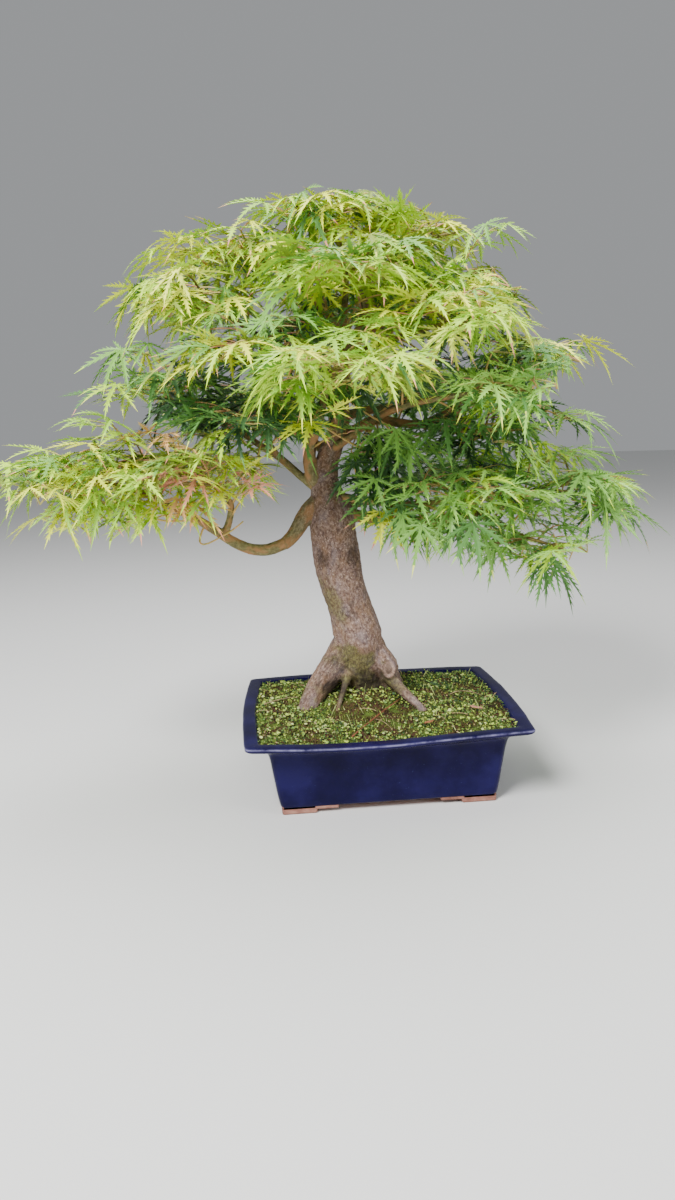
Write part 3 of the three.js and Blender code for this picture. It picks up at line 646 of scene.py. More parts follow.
# Moss on the wood: round the foot below these heights, and at places with their half sizes, the
# lean of the place, how ragged it is, the distance where it is full, and its strength
PATCH_SIZE = 13
FOOT_MOSS = 0.7
FOOT_MOSS_Z = [136, 98]
BASIN = [[-8, -20, 114], [36, 28, 22]]
MOSSY_PLACES = [
    [[-33, -14, 142], [30, 30, 20], 0, 0.5, 0.2, 1.2],
    [[-47, -8, 206], [13, 26, 42], 0.43, 0.5, 0.2, 0.8],
    [*BASIN, 0, 0.4, 0.4, 1],
]
MOSS_FADES_AT = 1.3
ARCH = [[-48, -8, 110], [17, 24, 15]]
# Wood has the colours of young wood where it is thin, fully at the first radius and not at all at
# the second, and high up, from none at the first height to its most at the second
YOUNG_RADIUS = [5, 15]
YOUNG_Z = [362, 396]
YOUNG_TOP = 0.85


def remeshed(mesh, voxel):
    """Points and quads of one closed skin over all that the mesh encloses."""
    points, faces, _ = mesh
    data = mesh_data("skin", points, faces)
    blank = linked("skin", data)
    modifier = blank.modifiers.new("skin", "REMESH")
    modifier.mode = "VOXEL"
    modifier.voxel_size = voxel
    skin = blank.evaluated_get(bpy.context.evaluated_depsgraph_get()).to_mesh()
    points = np.empty(len(skin.vertices) * 3)
    skin.vertices.foreach_get("co", points)
    quads = np.empty(len(skin.loops), np.int64)
    skin.loops.foreach_get("vertex_index", quads)
    bpy.data.objects.remove(blank)
    bpy.data.meshes.remove(data)
    return points.reshape(-1, 3), quads.reshape(-1, 4)


def spread_out(links, values):
    """The mean of values over each point's neighbours."""
    count = np.bincount(links[:, 0], minlength=len(values))
    sums = [np.bincount(links[:, 0], values[links[:, 1], k], len(values)) for k in range(3)]
    return np.stack(sums, axis=1) / count[:, None]


def neighbours(quads):
    """Each pair of points that share an edge, both ways round."""
    pairs = np.vstack([quads[:, [k, (k + 1) % 4]] for k in range(4)])
    return np.vstack([pairs, pairs[:, ::-1]])


def outward(points, quads):
    """Unit normals at the points."""
    corners = points[quads]
    faces = np.cross(corners[:, 2] - corners[:, 0], corners[:, 3] - corners[:, 1])
    sums = [
        sum(np.bincount(quads[:, c], faces[:, k], len(points)) for c in range(4)) for k in range(3)
    ]
    return unit(np.stack(sums, axis=1) + 1e-9)


def bark_relief(places, thick):
    """How far the bark stands out: soft lumps, long furrows and small scales, less on thin wood."""
    lumps = LUMP_HEIGHT * thick * noise(places / LUMP_SIZE, 1)
    ridges = 1 - abs(noise(places / FURROW_SIZE, 2))
    furrows = -FURROW_DEPTH * thick**0.5 * ramp(ridges, 0.84, 1)
    scales = (SCALE_HEIGHT[0] + SCALE_HEIGHT[1] * thick) * fractal(places / SCALE_SIZE, 2, 3)
    return lumps + furrows + scales


def soft_skin():
    """Points and quads of one soft skin over all limbs and roots, each point's nearest row of
    SAMPLES, and how thick the wood is there, from 0 to 1."""
    tubes = [with_look(tube(line, radii, LIMB_SIDES)) for line, radii, _ in ALL_PATHS]
    points, quads = remeshed(join(tubes), SKIN_VOXEL)
    links = neighbours(quads)
    rows, _ = nearest_sample(points)
    thick = np.clip((SAMPLES[rows, RADIUS] - THIN_WOOD) / (THICK_WOOD - THIN_WOOD), 0, 1)
    for share in SMOOTHING:
        points = points + share * (spread_out(links, points) - points)
    for share in THICK_SMOOTHING:
        points = points + share * thick[:, None] * (spread_out(links, points) - points)
    return points, quads, rows, thick


def mossiness(points):
    """How mossy the wood is at points, from 0 up."""
    patch = fractal(points / PATCH_SIZE, 3, 9)
    green = FOOT_MOSS * (ramp(points[:, 2], *FOOT_MOSS_Z) * ramp(patch, -0.35, 0.3))
    for place, size, lean, ragged, full_at, strength in MOSSY_PLACES:
        beside = points - place
        beside[:, 0] += lean * beside[:, 2]
        distance = np.linalg.norm(beside / size, axis=1)
        green += strength * ramp(distance + ragged * patch, MOSS_FADES_AT, full_at)
    return green


def wood():
    """The bark with its relief, and what its looks need to know of each point."""
    points, quads, rows, thick = soft_skin()
    offset = points - SAMPLES[rows, :3]
    left, top, along = (np.sum(offset * SAMPLES[rows, k : k + 3], axis=1) for k in (LEFT, TOP, ALONG))
    places = np.stack([left, top, along + SAMPLES[rows, DISTANCE]], axis=1)
    normals = outward(points, quads)
    behind = points[:, 1] >= 0
    scar = away(points[:, [0, 2]], SCAR_AT, SCAR_SIZE) + 3 * behind
    hollow = away(points, HOLLOW_AT, HOLLOW_SIZE)
    stands = bark_relief(places, thick) * ramp(scar, 0.7, 1.1)
    rim = np.exp(-(((scar - SCAR_RIM_AT) / SCAR_RIM_WIDTH) ** 2))
    stands += SCAR_RIM * rim - SCAR_DISH * ramp(scar, 0.9, 0.5)
    stands -= HOLLOW_DEPTH * ramp(hollow, 1, 0.3)
    points = points + normals * stands[:, None]
    shade = ramp(hollow, 1.1, 0.4) + 0.6 * ramp(stands, -0.35, -1.1)
    shade += 0.8 * ramp(away(points, *ARCH), 1.1, 0.5)
    shade += 0.5 * ramp(away(points, *BASIN), 1.1, 0.4)
    young = 1 - ramp(SAMPLES[rows, RADIUS], *YOUNG_RADIUS)
    young = np.maximum(young, YOUNG_TOP * ramp(points[:, 2], *YOUNG_Z))
    first_root = sum(len(line) for line, _, _ in LIMB_PATHS.values())
    values = {
        "bark_place": places,
        "green": np.clip(mossiness(points), 0, 1) * ramp(scar, 0.8, 1.2),
        "young": young * (rows < first_root),
        "scar": ramp(scar, 1.0, 0.8),
        "shade": np.clip(shade, 0, 1),
    }
    skin = points, quads, np.zeros(len(quads), int)
    add_piece("bark", skin, [bark_look()], LIMBS, values=values)


def bark_look():
    look = Look("bark", 0.88, Specular_IOR_Level=0.3)
    place = look.value("bark_place", "Vector")
    streaks = look.grain(place, [2.6, 2.6, 3.8], 7, 0.72)
    flecks = look.grain(place, [1.2, 1.2, 1.6], 4, 0.65)
    blotches = look.grain(place, [11, 11, 18], 3, 0.5)
    tone = look.shades(streaks, [(0.3, "352822"), (0.45, "685148"), (0.56, "8b7367"), (0.7, "b39d8f")])
    tone = look.mix(look.times(look.band(blotches, 0.5, 0.66), 0.4), tone, "8c6a48")
    tone = look.mix(look.times(look.band(blotches, 0.46, 0.34), 0.4), tone, "84787c")
    tone = look.mix(look.band(flecks, 0.6, 0.72), tone, "d8c4b6")
    tone = look.mix(look.band(flecks, 0.4, 0.3), tone, "3c2e27")
    shoots = look.shades(streaks, [(0.3, "4c4826"), (0.55, "7c7848"), (0.75, "a89a66")])
    shoots = look.mix(look.band(blotches, 0.45, 0.6), shoots, "a67c4e")
    tone = look.mix(look.times(look.value("young"), 0.9), tone, shoots)
    film = look.shades(streaks, [(0.3, "22240b"), (0.48, "4a4b20"), (0.7, "7c7a3a")])
    cover = look.band(look.plus(look.value("green"), look.times(streaks, 1.6)), 1.0, 1.9)
    tone = look.mix(look.times(cover, 0.8), tone, film)
    healed = look.shades(flecks, [(0.3, "a07c6a"), (0.7, "d9bda9")])
    tone = look.mix(look.times(look.value("scar"), 0.55), tone, healed)
    tone = look.mix(look.times(look.value("shade"), 0.85), tone, "1b1410")
    look.colour(tone)
    look.bump(look.grain(place, [1.4, 1.4, 4], 6, 0.7), 0.0009, 0.9)
    return look.material


# Twigs and leaves


def arched(root, tip, lift):
    """The three points of an arch from root to tip."""
    bend = root + (tip - root) * TWIG_BEND_AT + UP * lift
    return root, bend, tip


def on_arch(arch, t):
    """The place at t, from 0 to 1, on an arch."""
    t = np.asarray(t, float)[..., None]
    root, bend, tip = arch
    return root * (1 - t) ** 2 + 2 * bend * t * (1 - t) + tip * t**2


def in_own_space(point, name):
    """Whether a point lies nearer to its own mass than to any other, in their half sizes."""
    own = away(point, *MASSES[name][1:3])
    return all(away(point, *mass[1:3]) >= own for mass in MASSES.values())


def main_twigs(mass):
    """A mass's stem and side twigs, by the rule of the part's source."""
    limb, middle, half, seed = mass
    chance = random_stream(seed)
    line, radii, along = LIMB_PATHS[limb]
    root = line[-1] + along * TWIG_GAP
    middle, half = np.array(middle, float), np.array(half, float)
    onward = unit((middle - root) * [1, 1, 0])
    knee = root + along * STEM_KNEE * np.linalg.norm(middle - root)
    stem = root, knee, middle + half * onward * [1, 1, 0] * STEM_REACH
    heading = math.atan2(onward[1], onward[0])
    twigs = []
    for i in range(SIDE_TWIGS):
        azimuth = heading + math.pi / 2 + i * GOLDEN_ANGLE + vary(TWIG_SWING, chance)
        way = direction(azimuth, 1 - TWIGS_HEIGHT * (i + 0.5) / SIDE_TWIGS)
        end = middle + half * way * vary(TWIG_REACH, chance)
        start = on_arch(stem, TWIGS_START[0] + TWIGS_START[1] * (i + next(chance)) / SIDE_TWIGS)
        lift = np.linalg.norm(end - start) * vary(TWIG_LIFT, chance)
        twigs.append(arched(start, end, lift))
    return stem, twigs, radii[-1], line[-1] - along * STEM_OVERLAP


def fine_twigs(mass, arches, count, chance):
    """Twigs of the next order, from the nearest place on a main twig to points spread over the
    upper and outer part of the mass."""
    middle, half = np.array(mass[1], float), np.array(mass[2], float)
    places = np.array([on_arch(arch, t) for arch in arches for t in FINE_FROM])
    twigs = []
    for i in range(count):
        azimuth = mass[3] + i * GOLDEN_ANGLE + vary(TWIG_SWING, chance)
        way = direction(azimuth, FINE_HEIGHTS[0] + FINE_HEIGHTS[1] * (i + 0.5) / count)
        end = middle + half * way * vary(FINE_REACH, chance)
        start = places[np.linalg.norm(places - end, axis=1).argmin()]
        length = np.linalg.norm(end - start)
        if length > LEAST_FINE_TWIG:
            twigs.append(arched(start, end, length * vary(TWIG_LIFT, chance)))
    return twigs


class Leaf:
    """Where one leaf sits: its stalk from root to palm, the way it points, and its size."""

    def __init__(self, root, heading, hand, flat, hang, chance):
        turn = LEAF_HAND_TURN * hand + vary(LEAF_SWING, chance)
        away = np.array([
            heading[0] * math.cos(turn) - heading[1] * math.sin(turn),
            heading[0] * math.sin(turn) + heading[1] * math.cos(turn),
            0,
        ])
        rise = vary(FLAT_RISE if flat else PALM_RISE, chance)
        self.root = root
        self.palm = root + away * STALK_LENGTH * vary(STALK_SHARE, chance) + UP * rise
        fall = FLAT_FALL if flat else LEAF_FALL
        if hang is not None:
            fall = [hang + SPRIG_FALL[0], SPRIG_FALL[1]]
        self.forward = unit(away - UP * vary(fall, chance))
        side = unit(np.cross(UP, self.forward))
        roll = vary(LEAF_ROLL, chance)
        normal = np.cross(self.forward, side)
        self.side = side * math.cos(roll) + normal * math.sin(roll)
        self.normal = np.cross(self.forward, self.side)
        self.length = LEAF_LENGTH * vary(LEAF_SIZE, chance) * (FLAT_SIZE if flat else 1)
        self.droop = vary(FLAT_DROOP if flat else LEAF_DROOP, chance)
        self.kind = int(next(chance) * LEAF_KINDS)
        self.body, self.tip = 0, 0

    def reaches(self):
        """Points on the palm, halfway out and at the ends of the middle and the side lobes."""
        aside = LOBE_ASIDE * self.side
        ways = [self.forward, LOBE_AHEAD * self.forward + aside, LOBE_AHEAD * self.forward - aside]
        hang = UP * self.droop * self.length
        tips = [self.palm + way * self.length - hang * (way @ way) for way in ways]
        return np.array([self.palm, (self.palm + tips[0]) / 2, *tips])


# Each lobe's turn from the middle one in degrees, and its length
LOBES = [[-118, 0.44], [-78, 0.72], [-38, 0.93], [0, 1], [38, 0.93], [78, 0.72], [118, 0.44]]
NOTCHES = [0.16, 0.3, 0.43, 0.55, 0.67, 0.78]
SHORT_LOBE = 0.6
TOOTH_FROM = 0.4
TOOTH_AHEAD = 0.07
HALF_WIDTH = 0.13
WIDEST_AT = 0.36
CORE_SHARE = 0.26
CORE_LEAST = 0.01
SINUS = 0.12
FOLD = 0.45
BLUSH_FROM = 0.7
BLUSH_SHARE = 0.5
# How far the outer sinuses turn away from the outer lobes, in radians, and how high sinuses lie
OUTER_SINUS = 0.45
SINUS_HEIGHT = 0.02
LOBE_SWING = [-8, 16]
LOBE_SIZE = [0.86, 0.22]
LOBE_SWAY = [-0.3, 0.6]
LOBE_HANG = [-0.36, 0.5]
TOOTH_SIZE = [0.8, 0.4]
TAPER = 1.1


def half_width(u):
    """Half the width of a lobe over its teeth, at u along it: quickly up, then a long taper."""
    if u < WIDEST_AT:
        return HALF_WIDTH * math.sin(math.pi / 2 * u / WIDEST_AT)
    return HALF_WIDTH * (1 - (u - WIDEST_AT) / (1 - WIDEST_AT)) ** TAPER


def leaf_kind(chance):
    """A seven-lobed leaf of unit length, each lobe a slim blade with long teeth that point forward:
    x forward, y to its left, z up. The last value tells which triangles are blushed tips."""
    points, triangles, tips = [np.zeros(3)], [], []
    angles = [math.radians(angle + vary(LOBE_SWING, chance)) for angle, _ in LOBES]
    between = [(a + b) / 2 for a, b in zip(angles, angles[1:])]
    for angle in [angles[0] - OUTER_SINUS, *between, angles[-1] + OUTER_SINUS]:
        points.append(np.array([math.cos(angle) * SINUS, math.sin(angle) * SINUS, SINUS_HEIGHT]))
    for k, (angle, (_, size)) in enumerate(zip(angles, LOBES)):
        size *= vary(LOBE_SIZE, chance)
        notches = NOTCHES if size > SHORT_LOBE else NOTCHES[::2]
        sway = vary(LOBE_SWAY, chance)
        hang = vary(LOBE_HANG, chance)
        blushed = next(chance) < BLUSH_SHARE
        way = np.array([math.cos(angle), math.sin(angle), 0])
        across = np.array([-way[1], way[0], 0])

        def at(u, w):
            bent = way * u + across * (w + sway * u * u * 0.5)
            return (bent + UP * (FOLD * abs(w) + hang * u * u)) * size

        first = len(points)
        points += [at(u, 0) for u in notches] + [at(1, 0)]
        for hand in (1, -1):
            edge = len(points)
            cores = [CORE_LEAST + CORE_SHARE * half_width(u) for u in notches]
            points += [at(u, hand * core) for u, core in zip(notches, cores)]
            sinus = 1 + k + (hand > 0)
            side = [(0, first, sinus, 0), (first, edge, sinus, 0)]
            for j, (u, onward) in enumerate(zip(notches, notches[1:])):
                wide = half_width((u + onward) / 2) * vary(TOOTH_SIZE, chance)
                back = u + TOOTH_FROM * (onward - u)
                points.append(at(back, hand * (cores[j] + TOOTH_FROM * (cores[j + 1] - cores[j]))))
                points.append(at(onward + TOOTH_AHEAD, hand * wide))
                rib, notch, heel = first + j, edge + j, len(points) - 2
                side.append((rib, heel, notch, u))
                side.append((rib, rib + 1, heel, u))
                side.append((rib + 1, notch + 1, heel, u))
                side.append((heel, notch + 1, heel + 1, u))
            last = len(notches) - 1
            side.append((first + last, first + last + 1, edge + last, 1))
            for a, b, c, u in side:
                triangles.append((a, b, c) if hand > 0 else (a, c, b))
                tips.append(blushed and u > BLUSH_FROM)
    return np.array(points), np.array(triangles), np.array(tips)


def leaf_mesh(leaves, kinds):
    """All leaves as one mesh: a leaf's faces take its body colour, the blushed tips its tip colour."""
    meshes = []
    for leaf in leaves:
        shape, triangles, tips = kinds[leaf.kind]
        share = np.sum(shape[:, :2] ** 2, axis=1, keepdims=True)
        local = shape @ np.array([leaf.forward, leaf.side, leaf.normal])
        points = leaf.palm + (local - UP * share * leaf.droop) * leaf.length
        meshes.append((points, triangles, np.where(tips, leaf.tip, leaf.body)))
    return join(meshes)


# Colours of the foliage, dealt out by spray

LEAF_COLOURS = {
    "lime": "bade3a",
    "fresh": "9eca42",
    "olive": "889c38",
    "mint": "9ece5c",
    "green": "78a84a",
    "deep": "568440",
    "shaded": "3a5c34",
    "yellow": "dee63c",
    "cream": "e4ec60",
    "peach": "e4b674",
    "pink": "d8957a",
}
COLOUR_NAMES = list(LEAF_COLOURS)
CROWN_CENTRE = [-30, 0, 420]
CROWN_HALF = [330, 190, 200]
# Leaves nearer the crown's centre than this share of its half sizes take the dark colours of the
# inside: painted shade
INSIDE = 0.6
# The low left pad lies left of this x and below this z, the lower right side right of this x and
# below this z
LEFT_PAD = [-84, 388]
LOWER_RIGHT = [20, 455]
# For each part of the crown, the share of each colour of a spray, and of its leaves' blushed tips
TINTS = {
    "left_pad": [
        {"lime": 0.28, "yellow": 0.24, "fresh": 0.15, "olive": 0.16, "green": 0.05, "peach": 0.08,
         "pink": 0.04},
        {"cream": 0.28, "peach": 0.34, "pink": 0.12, "lime": 0.26},
    ],
    # The top takes light colours: the leaves' own yellow-greens, and painted light, lighter for the
    # light from above
    "top": [
        {"lime": 0.34, "fresh": 0.19, "yellow": 0.18, "olive": 0.1, "green": 0.1, "deep": 0.04,
         "cream": 0.05},
        {"cream": 0.22, "lime": 0.36, "peach": 0.3, "pink": 0.12},
    ],
    "lower_right": [
        {"mint": 0.42, "green": 0.3, "deep": 0.14, "lime": 0.14},
        {"mint": 0.35, "lime": 0.3, "cream": 0.33, "peach": 0.02},
    ],
    # Painted shade: the inside of the crown takes dark greens
    "inside": [
        {"deep": 0.45, "shaded": 0.32, "green": 0.23},
        {"green": 0.5, "deep": 0.3, "fresh": 0.2},
    ],
}
ODD_LEAF = 0.3


def pick(shares, chance):
    """The number of a colour drawn by the shares."""
    draw = next(chance)
    for name, share in shares.items():
        draw -= share
        if draw < 0:
            return COLOUR_NAMES.index(name)
    return COLOUR_NAMES.index(name)


def region(point):
    """The part of the crown that a point lies in."""
    if point[0] < LEFT_PAD[0] and point[2] < LEFT_PAD[1]:
        return "left_pad"
    if away(point, CROWN_CENTRE, CROWN_HALF) < INSIDE:
        return "inside"
    if point[0] > LOWER_RIGHT[0] and point[2] < LOWER_RIGHT[1]:
        return "lower_right"
    return "top"


def leaf_look(name):
    look = Look(f"leaf_{name}", 0.46, Specular_IOR_Level=0.36)
    look.colour(LEAF_COLOURS[name])
    veins = look.grain(look.place(), [0.0016, 0.0016, 0.0016], 3, 0.6)
    look.bump(veins, 0.0003, 0.5)
    return look.material


def shoot_look(name, dark, light):
    look = Look(name, 0.6, Specular_IOR_Level=0.35)
    look.colour(look.shades(look.grain(look.place(), 0.006, 4), [(0.35, dark), (0.65, light)]))
    return look.material


# Where the crown ends: a height and the x of its left and right edge there, on the upright plane
# through the trunk as it is seen from the camera
CROWN_EDGE = [
    [186, 150, 182], [205, 120, 214], [232, 40, 232], [250, 10, 246], [262, -200, 262],
    [280, -350, 285], [290, -372, 296], [312, -392, 312], [330, -392, 290], [345, -398, 262],
    [358, -395, 232], [368, -392, 202], [380, -345, 232], [390, -306, 210], [400, -256, 196],
    [414, -226, 200], [430, -240, 206], [446, -290, 252], [461, -288, 224], [476, -274, 190],
    [495, -246, 196], [520, -254, 170], [545, -240, 142], [570, -206, 128], [590, -184, 98],
    [602, -136, 84], [614, -100, 58], [628, -60, 0],
]
# Openings that stay free, as left, right, lower and upper edge on the same plane. The last two
# are free only of leaves in front of the trunk.
FRONT_OPENINGS = 2
OPENINGS = [
    [-92, -60, 270, 352], [-122, -60, 200, 314], [-146, -60, 200, 300], [-400, -66, 150, 282],
    [-56, -34, 190, 330], [-34, -4, 150, 268], [-20, 30, 150, 246], [30, 126, 150, 234],
    [134, 160, 150, 250], [127, 141, 388, 401], [188, 214, 360, 374],
    [206, 226, 338, 352], [21, 31, 331, 341], [232, 246, 338, 349], [210, 225, 434, 448],
    [-161, -147, 293, 306], [-66, -22, 342, 384], [-8, 50, 392, 412],
]


def seen(points):
    """x and z of points moved along their line to the camera, onto the plane through the trunk."""
    eye = np.array(CAMERA_AT)
    share = -eye[1] / (points[:, 1] - eye[1])
    return (eye + (points - eye) * share[:, None])[:, [0, 2]]


def in_outline(points, loose):
    """Whether points keep inside the crown's edge, which a loose sprig may pass, and out of the
    openings."""
    edge = np.array(CROWN_EDGE, float)
    x, z = seen(points).T
    left, right = (np.interp(z, edge[:, 0], edge[:, k]) for k in (1, 2))
    outside = np.any((x < left) | (x > right) | (z > edge[-1, 0]) | (z < edge[0, 0]))
    if outside and not loose:
        return False
    openings = OPENINGS if points[0, 1] < 0 else OPENINGS[:-FRONT_OPENINGS]
    return not any(
        np.any((x > low_x) & (x < high_x) & (z > low_z) & (z < high_z))
        for low_x, high_x, low_z, high_z in openings
    )


# Where pairs of leaves sit on a twig, and how much of a mass's stem is drawn
PAIRS_ON_MAIN = [0.5, 0.78]
PAIRS_ON_FINE = [0.6]
STEM_DRAWN = 0.86
STEM_POINTS = 13
STEM_SIDES = 8
STEM_TIP = 1.3
TWIG_POINTS = 9
TWIG_SIDES = 6
# Radii of twigs where they start and end
MAIN_RADII = [1.5, 0.9]
FINE_RADII = [1.0, 0.6]
SPRIG_RADII = [1.2, 0.7]
SHOOT_RADII = [1.2, 0.8]
BOUGH_TWIG_RADII = [1.3, 0.7]
# The numbers of the two looks of twigs
TWIG, SHOOT = 0, 1
LEAF_KINDS_SEED = 5
SPRIGS_SEED = 300
BOUGH_TWIGS_SEED = 77
MASS_SEEDS_FROM = 100
# The places of leaves at the end of a twig, as the hand that each turns to
END_LEAVES = [0, 1, -1]
# Single twigs beyond the even spread: where each starts and ends and how steeply its leaves hang
SPRIGS = [
    [[186, 10, 458], [214, 0, 472], 0.6], [[190, 8, 404], [208, 0, 394], 0.3],
    [[-66, 0, 588], [-80, -10, 606], 0], [[-48, 0, 590], [-53, -12, 610], -0.1],
    [[-30, 4, 590], [-22, -8, 606], 0], [[52, 4, 566], [70, -10, 586], 0],
    [[30, 0, 572], [36, -12, 594], -0.1], [[-112, 0, 566], [-132, -10, 576], 0],
    [[-160, 0, 560], [-178, -10, 572], 0], [[-20, 10, 586], [0, 0, 598], 0.1],
    [[-14, -14, 318], [2, -34, 350], 0.6], [[-10, 0, 392], [10, -26, 376], 0.9],
    [[4, -28, 402], [26, -42, 376], 0.9], [[-14, -14, 318], [14, -38, 336], 0.4],
    [[8, 7, 398], [16, 22, 370], 0.6], [[-20, 8, 388], [2, 26, 360], 0.5],
    [[16, -32, 314], [14, -58, 302], 1.1], [[30, 2, 291], [30, -34, 290], 1.3],
    [[44, -44, 314], [50, -80, 296], 1.4], [[44, -44, 314], [78, -92, 292], 1.4],
    [[72, 3, 290], [72, -36, 284], 1.4], [[-6, -10, 297], [4, -32, 300], 0.8],
    [[100, 3, 294], [106, -46, 284], 1.4], [[152, -24, 276], [174, -46, 240], 1.1],
    [[60, -30, 300], [62, -60, 286], 1.4], [[90, -20, 296], [86, -60, 280], 1.4],
    [[120, -10, 290], [130, -40, 268], 1.3], [[8, 7, 398], [-4, -14, 378], 1.0],
    [[8, 7, 398], [10, -20, 370], 1.2], [[8, 7, 398], [-14, -22, 376], 1.2],
    [[-14, -14, 318], [-6, -30, 338], 1.2],
    [[-6, -10, 297], [-10, -36, 306], 1.2], [[-14, -14, 318], [-2, -38, 318], 1.3],
    [[-40, -10, 418], [-50, -34, 430], 0.9], [[-30, -6, 418], [-26, -36, 430], 1.0],
    [[8, 7, 398], [-14, -8, 366], 1.3], [[-10, 0, 392], [-22, -16, 368], 1.4],
    [[-14, -14, 318], [-20, -30, 352], 1.3], [[-14, -14, 318], [-8, -34, 364], 1.4],
    [[-200, -10, 310], [-232, -30, 308], 0.5], [[-240, -10, 334], [-286, -24, 309], 0.5],
    [[-290, -10, 335], [-332, -20, 314], 0.5], [[-262, -10, 338], [-262, -34, 308], 0.6],
    [[-170, -8, 292], [-152, -34, 304], 0.5], [[-222, -11, 325], [-214, -40, 306], 0.6],
    [[106, 4, 560], [124, 0, 582], 0.4], [[176, 15, 452], [192, 5, 466], 0.7],
    [[176, 14, 420], [198, 5, 394], 0.4], [[190, 9, 345], [212, 4, 356], 0.3],
    [[206, 9, 324], [232, 0, 334], 0.5], [[222, 5, 306], [248, 0, 292], 0.1],
    [[-206, 0, 462], [-232, -5, 476], 0.7], [[-196, 0, 530], [-212, -5, 542], 0.9],
    [[-146, 0, 566], [-160, -5, 580], 0.5], [[-252, -10, 342], [-286, -30, 370], 0.1],
    [[222, 5, 306], [262, 0, 290], 0.6], [[200, 9, 318], [246, -20, 300], 0.9],
    [[-280, -10, 344], [-322, -20, 369], 0.1], [[-300, -8, 346], [-356, -4, 364], 0.1],
    [[-262, -10, 342], [-262, -40, 366], 0.2], [[-190, -20, 348], [-222, -50, 368], 0.2],
    [[-170, -20, 340], [-172, -56, 372], 0], [[-153, -10, 302], [-126, -34, 336], 0.1],
    [[-150, -14, 318], [-122, -30, 352], 0.1], [[-190, -10, 307], [-204, -44, 326], 0.6],
    [[-222, -11, 325], [-244, -44, 322], 1.2], [[-240, -10, 334], [-272, -34, 322], 1.2],
    [[-290, -10, 335], [-318, -24, 322], 1.2], [[-170, -8, 292], [-172, -40, 316], 1.2],
    [[-200, -10, 310], [-212, -36, 322], 1.3], [[-262, -10, 338], [-296, -40, 326], 1.3],
    [[-200, 18, 430], [-252, -6, 440], 0.4], [[-300, -10, 335], [-362, 0, 344], 0.2],
    [[-262, -10, 350], [-278, -24, 383], 0], [[-230, -12, 346], [-240, -26, 384], 0],
    [[-296, -10, 346], [-318, -20, 376], 0], [[-200, -14, 342], [-204, -30, 390], 0.1],
    [[-244, -20, 372], [-262, -28, 404], -0.1], [[-60, -150, 456], [-68, -188, 450], 0.2],
    [[-24, -150, 450], [-18, -186, 444], 0.2], [[250, 50, 324], [302, 88, 312], 0.3],
]
# Bare shoots: start, bend and end of each
SHOOTS = [
    [[-178, -9, 300], [-198, -24, 266], [-160, -24, 288]],
    [[-160, -24, 288], [-150, -26, 292], [-138, -26, 302]],
    [[-322, -44, 348], [-296, -52, 342], [-252, -40, 318]],
    [[-262, -14, 330], [-240, -30, 304], [-200, -12, 304]],
    [[-40, -6, 392], [-52, -14, 402], [-76, -22, 400]],
    [[-12, -22, 372], [-36, -30, 384], [-66, -34, 408]],
    [[20, -30, 392], [-6, -40, 404], [-30, -44, 424]],
]
BOUGH_TWIGS = 4
BOUGH_TWIGS_FROM = 0.35
TRUNK_TWIGS_FROM = 0.68
BOUGH_TWIG_LEAN = 0.5
BOUGH_TWIG_RISE = 0.3
BOUGH_TWIG_DEPTH = 0.5
TWIG_ARCH = 0.15
# Limbs without such twigs
BARE_LIMBS = ["left_low_elbow", "left_low_arm", "pruned_stub", "left_mid_bough", "back_low_bough"]
TWIG_LENGTH = [24, 22]


def bough_twigs():
    """Short twigs that leave the boughs and the trunk's upper end on all sides, outward and up."""
    chance = random_stream(BOUGH_TWIGS_SEED)
    arches = []
    for limb, (line, radii, _) in LIMB_PATHS.items():
        if limb in BARE_LIMBS:
            continue
        on_trunk = limb == "trunk"
        first = int(len(line) * (TRUNK_TWIGS_FROM if on_trunk else BOUGH_TWIGS_FROM))
        count = 2 * BOUGH_TWIGS if on_trunk else BOUGH_TWIGS
        along, left, top = frames_along(line)
        for i in range(count):
            at = int(first + (len(line) - 1 - first) * (i + next(chance)) / count)
            turn = i * GOLDEN_ANGLE + next(chance)
            way = left[at] * math.cos(turn) + top[at] * math.sin(turn)
            way = unit(way + BOUGH_TWIG_LEAN * along[at] + BOUGH_TWIG_RISE * UP)
            start = line[at] + way * radii[at] * BOUGH_TWIG_DEPTH
            length = vary(TWIG_LENGTH, chance) + radii[at]
            arches.append(arched(start, start + way * length, TWIG_ARCH * length))
    return arches


def sprout(arch, pairs, radii, look, sprays, owner):
    """A twig, if it ends inside the outline, with spots for a pair of leaves at each of pairs and
    three at its end. The owner is a mass's name or None, the stream of chance, and how steeply the
    leaves hang or None."""
    line = on_arch(arch, np.linspace(0, 1, TWIG_POINTS))
    if not in_outline(line[-1:], owner[2] is not None):
        return
    sprays["twigs"].append(with_look(tube(line, np.linspace(*radii, TWIG_POINTS), TWIG_SIDES), look))
    heading = unit((line[-1] - line[-4]) * [1, 1, 0] + [1e-6, 0, 0])
    spots = [(on_arch(arch, t), hand) for t in pairs for hand in (1, -1)]
    spots += [(line[-1], hand) for hand in END_LEAVES]
    sprays["spots"].append((spots, heading, *owner))


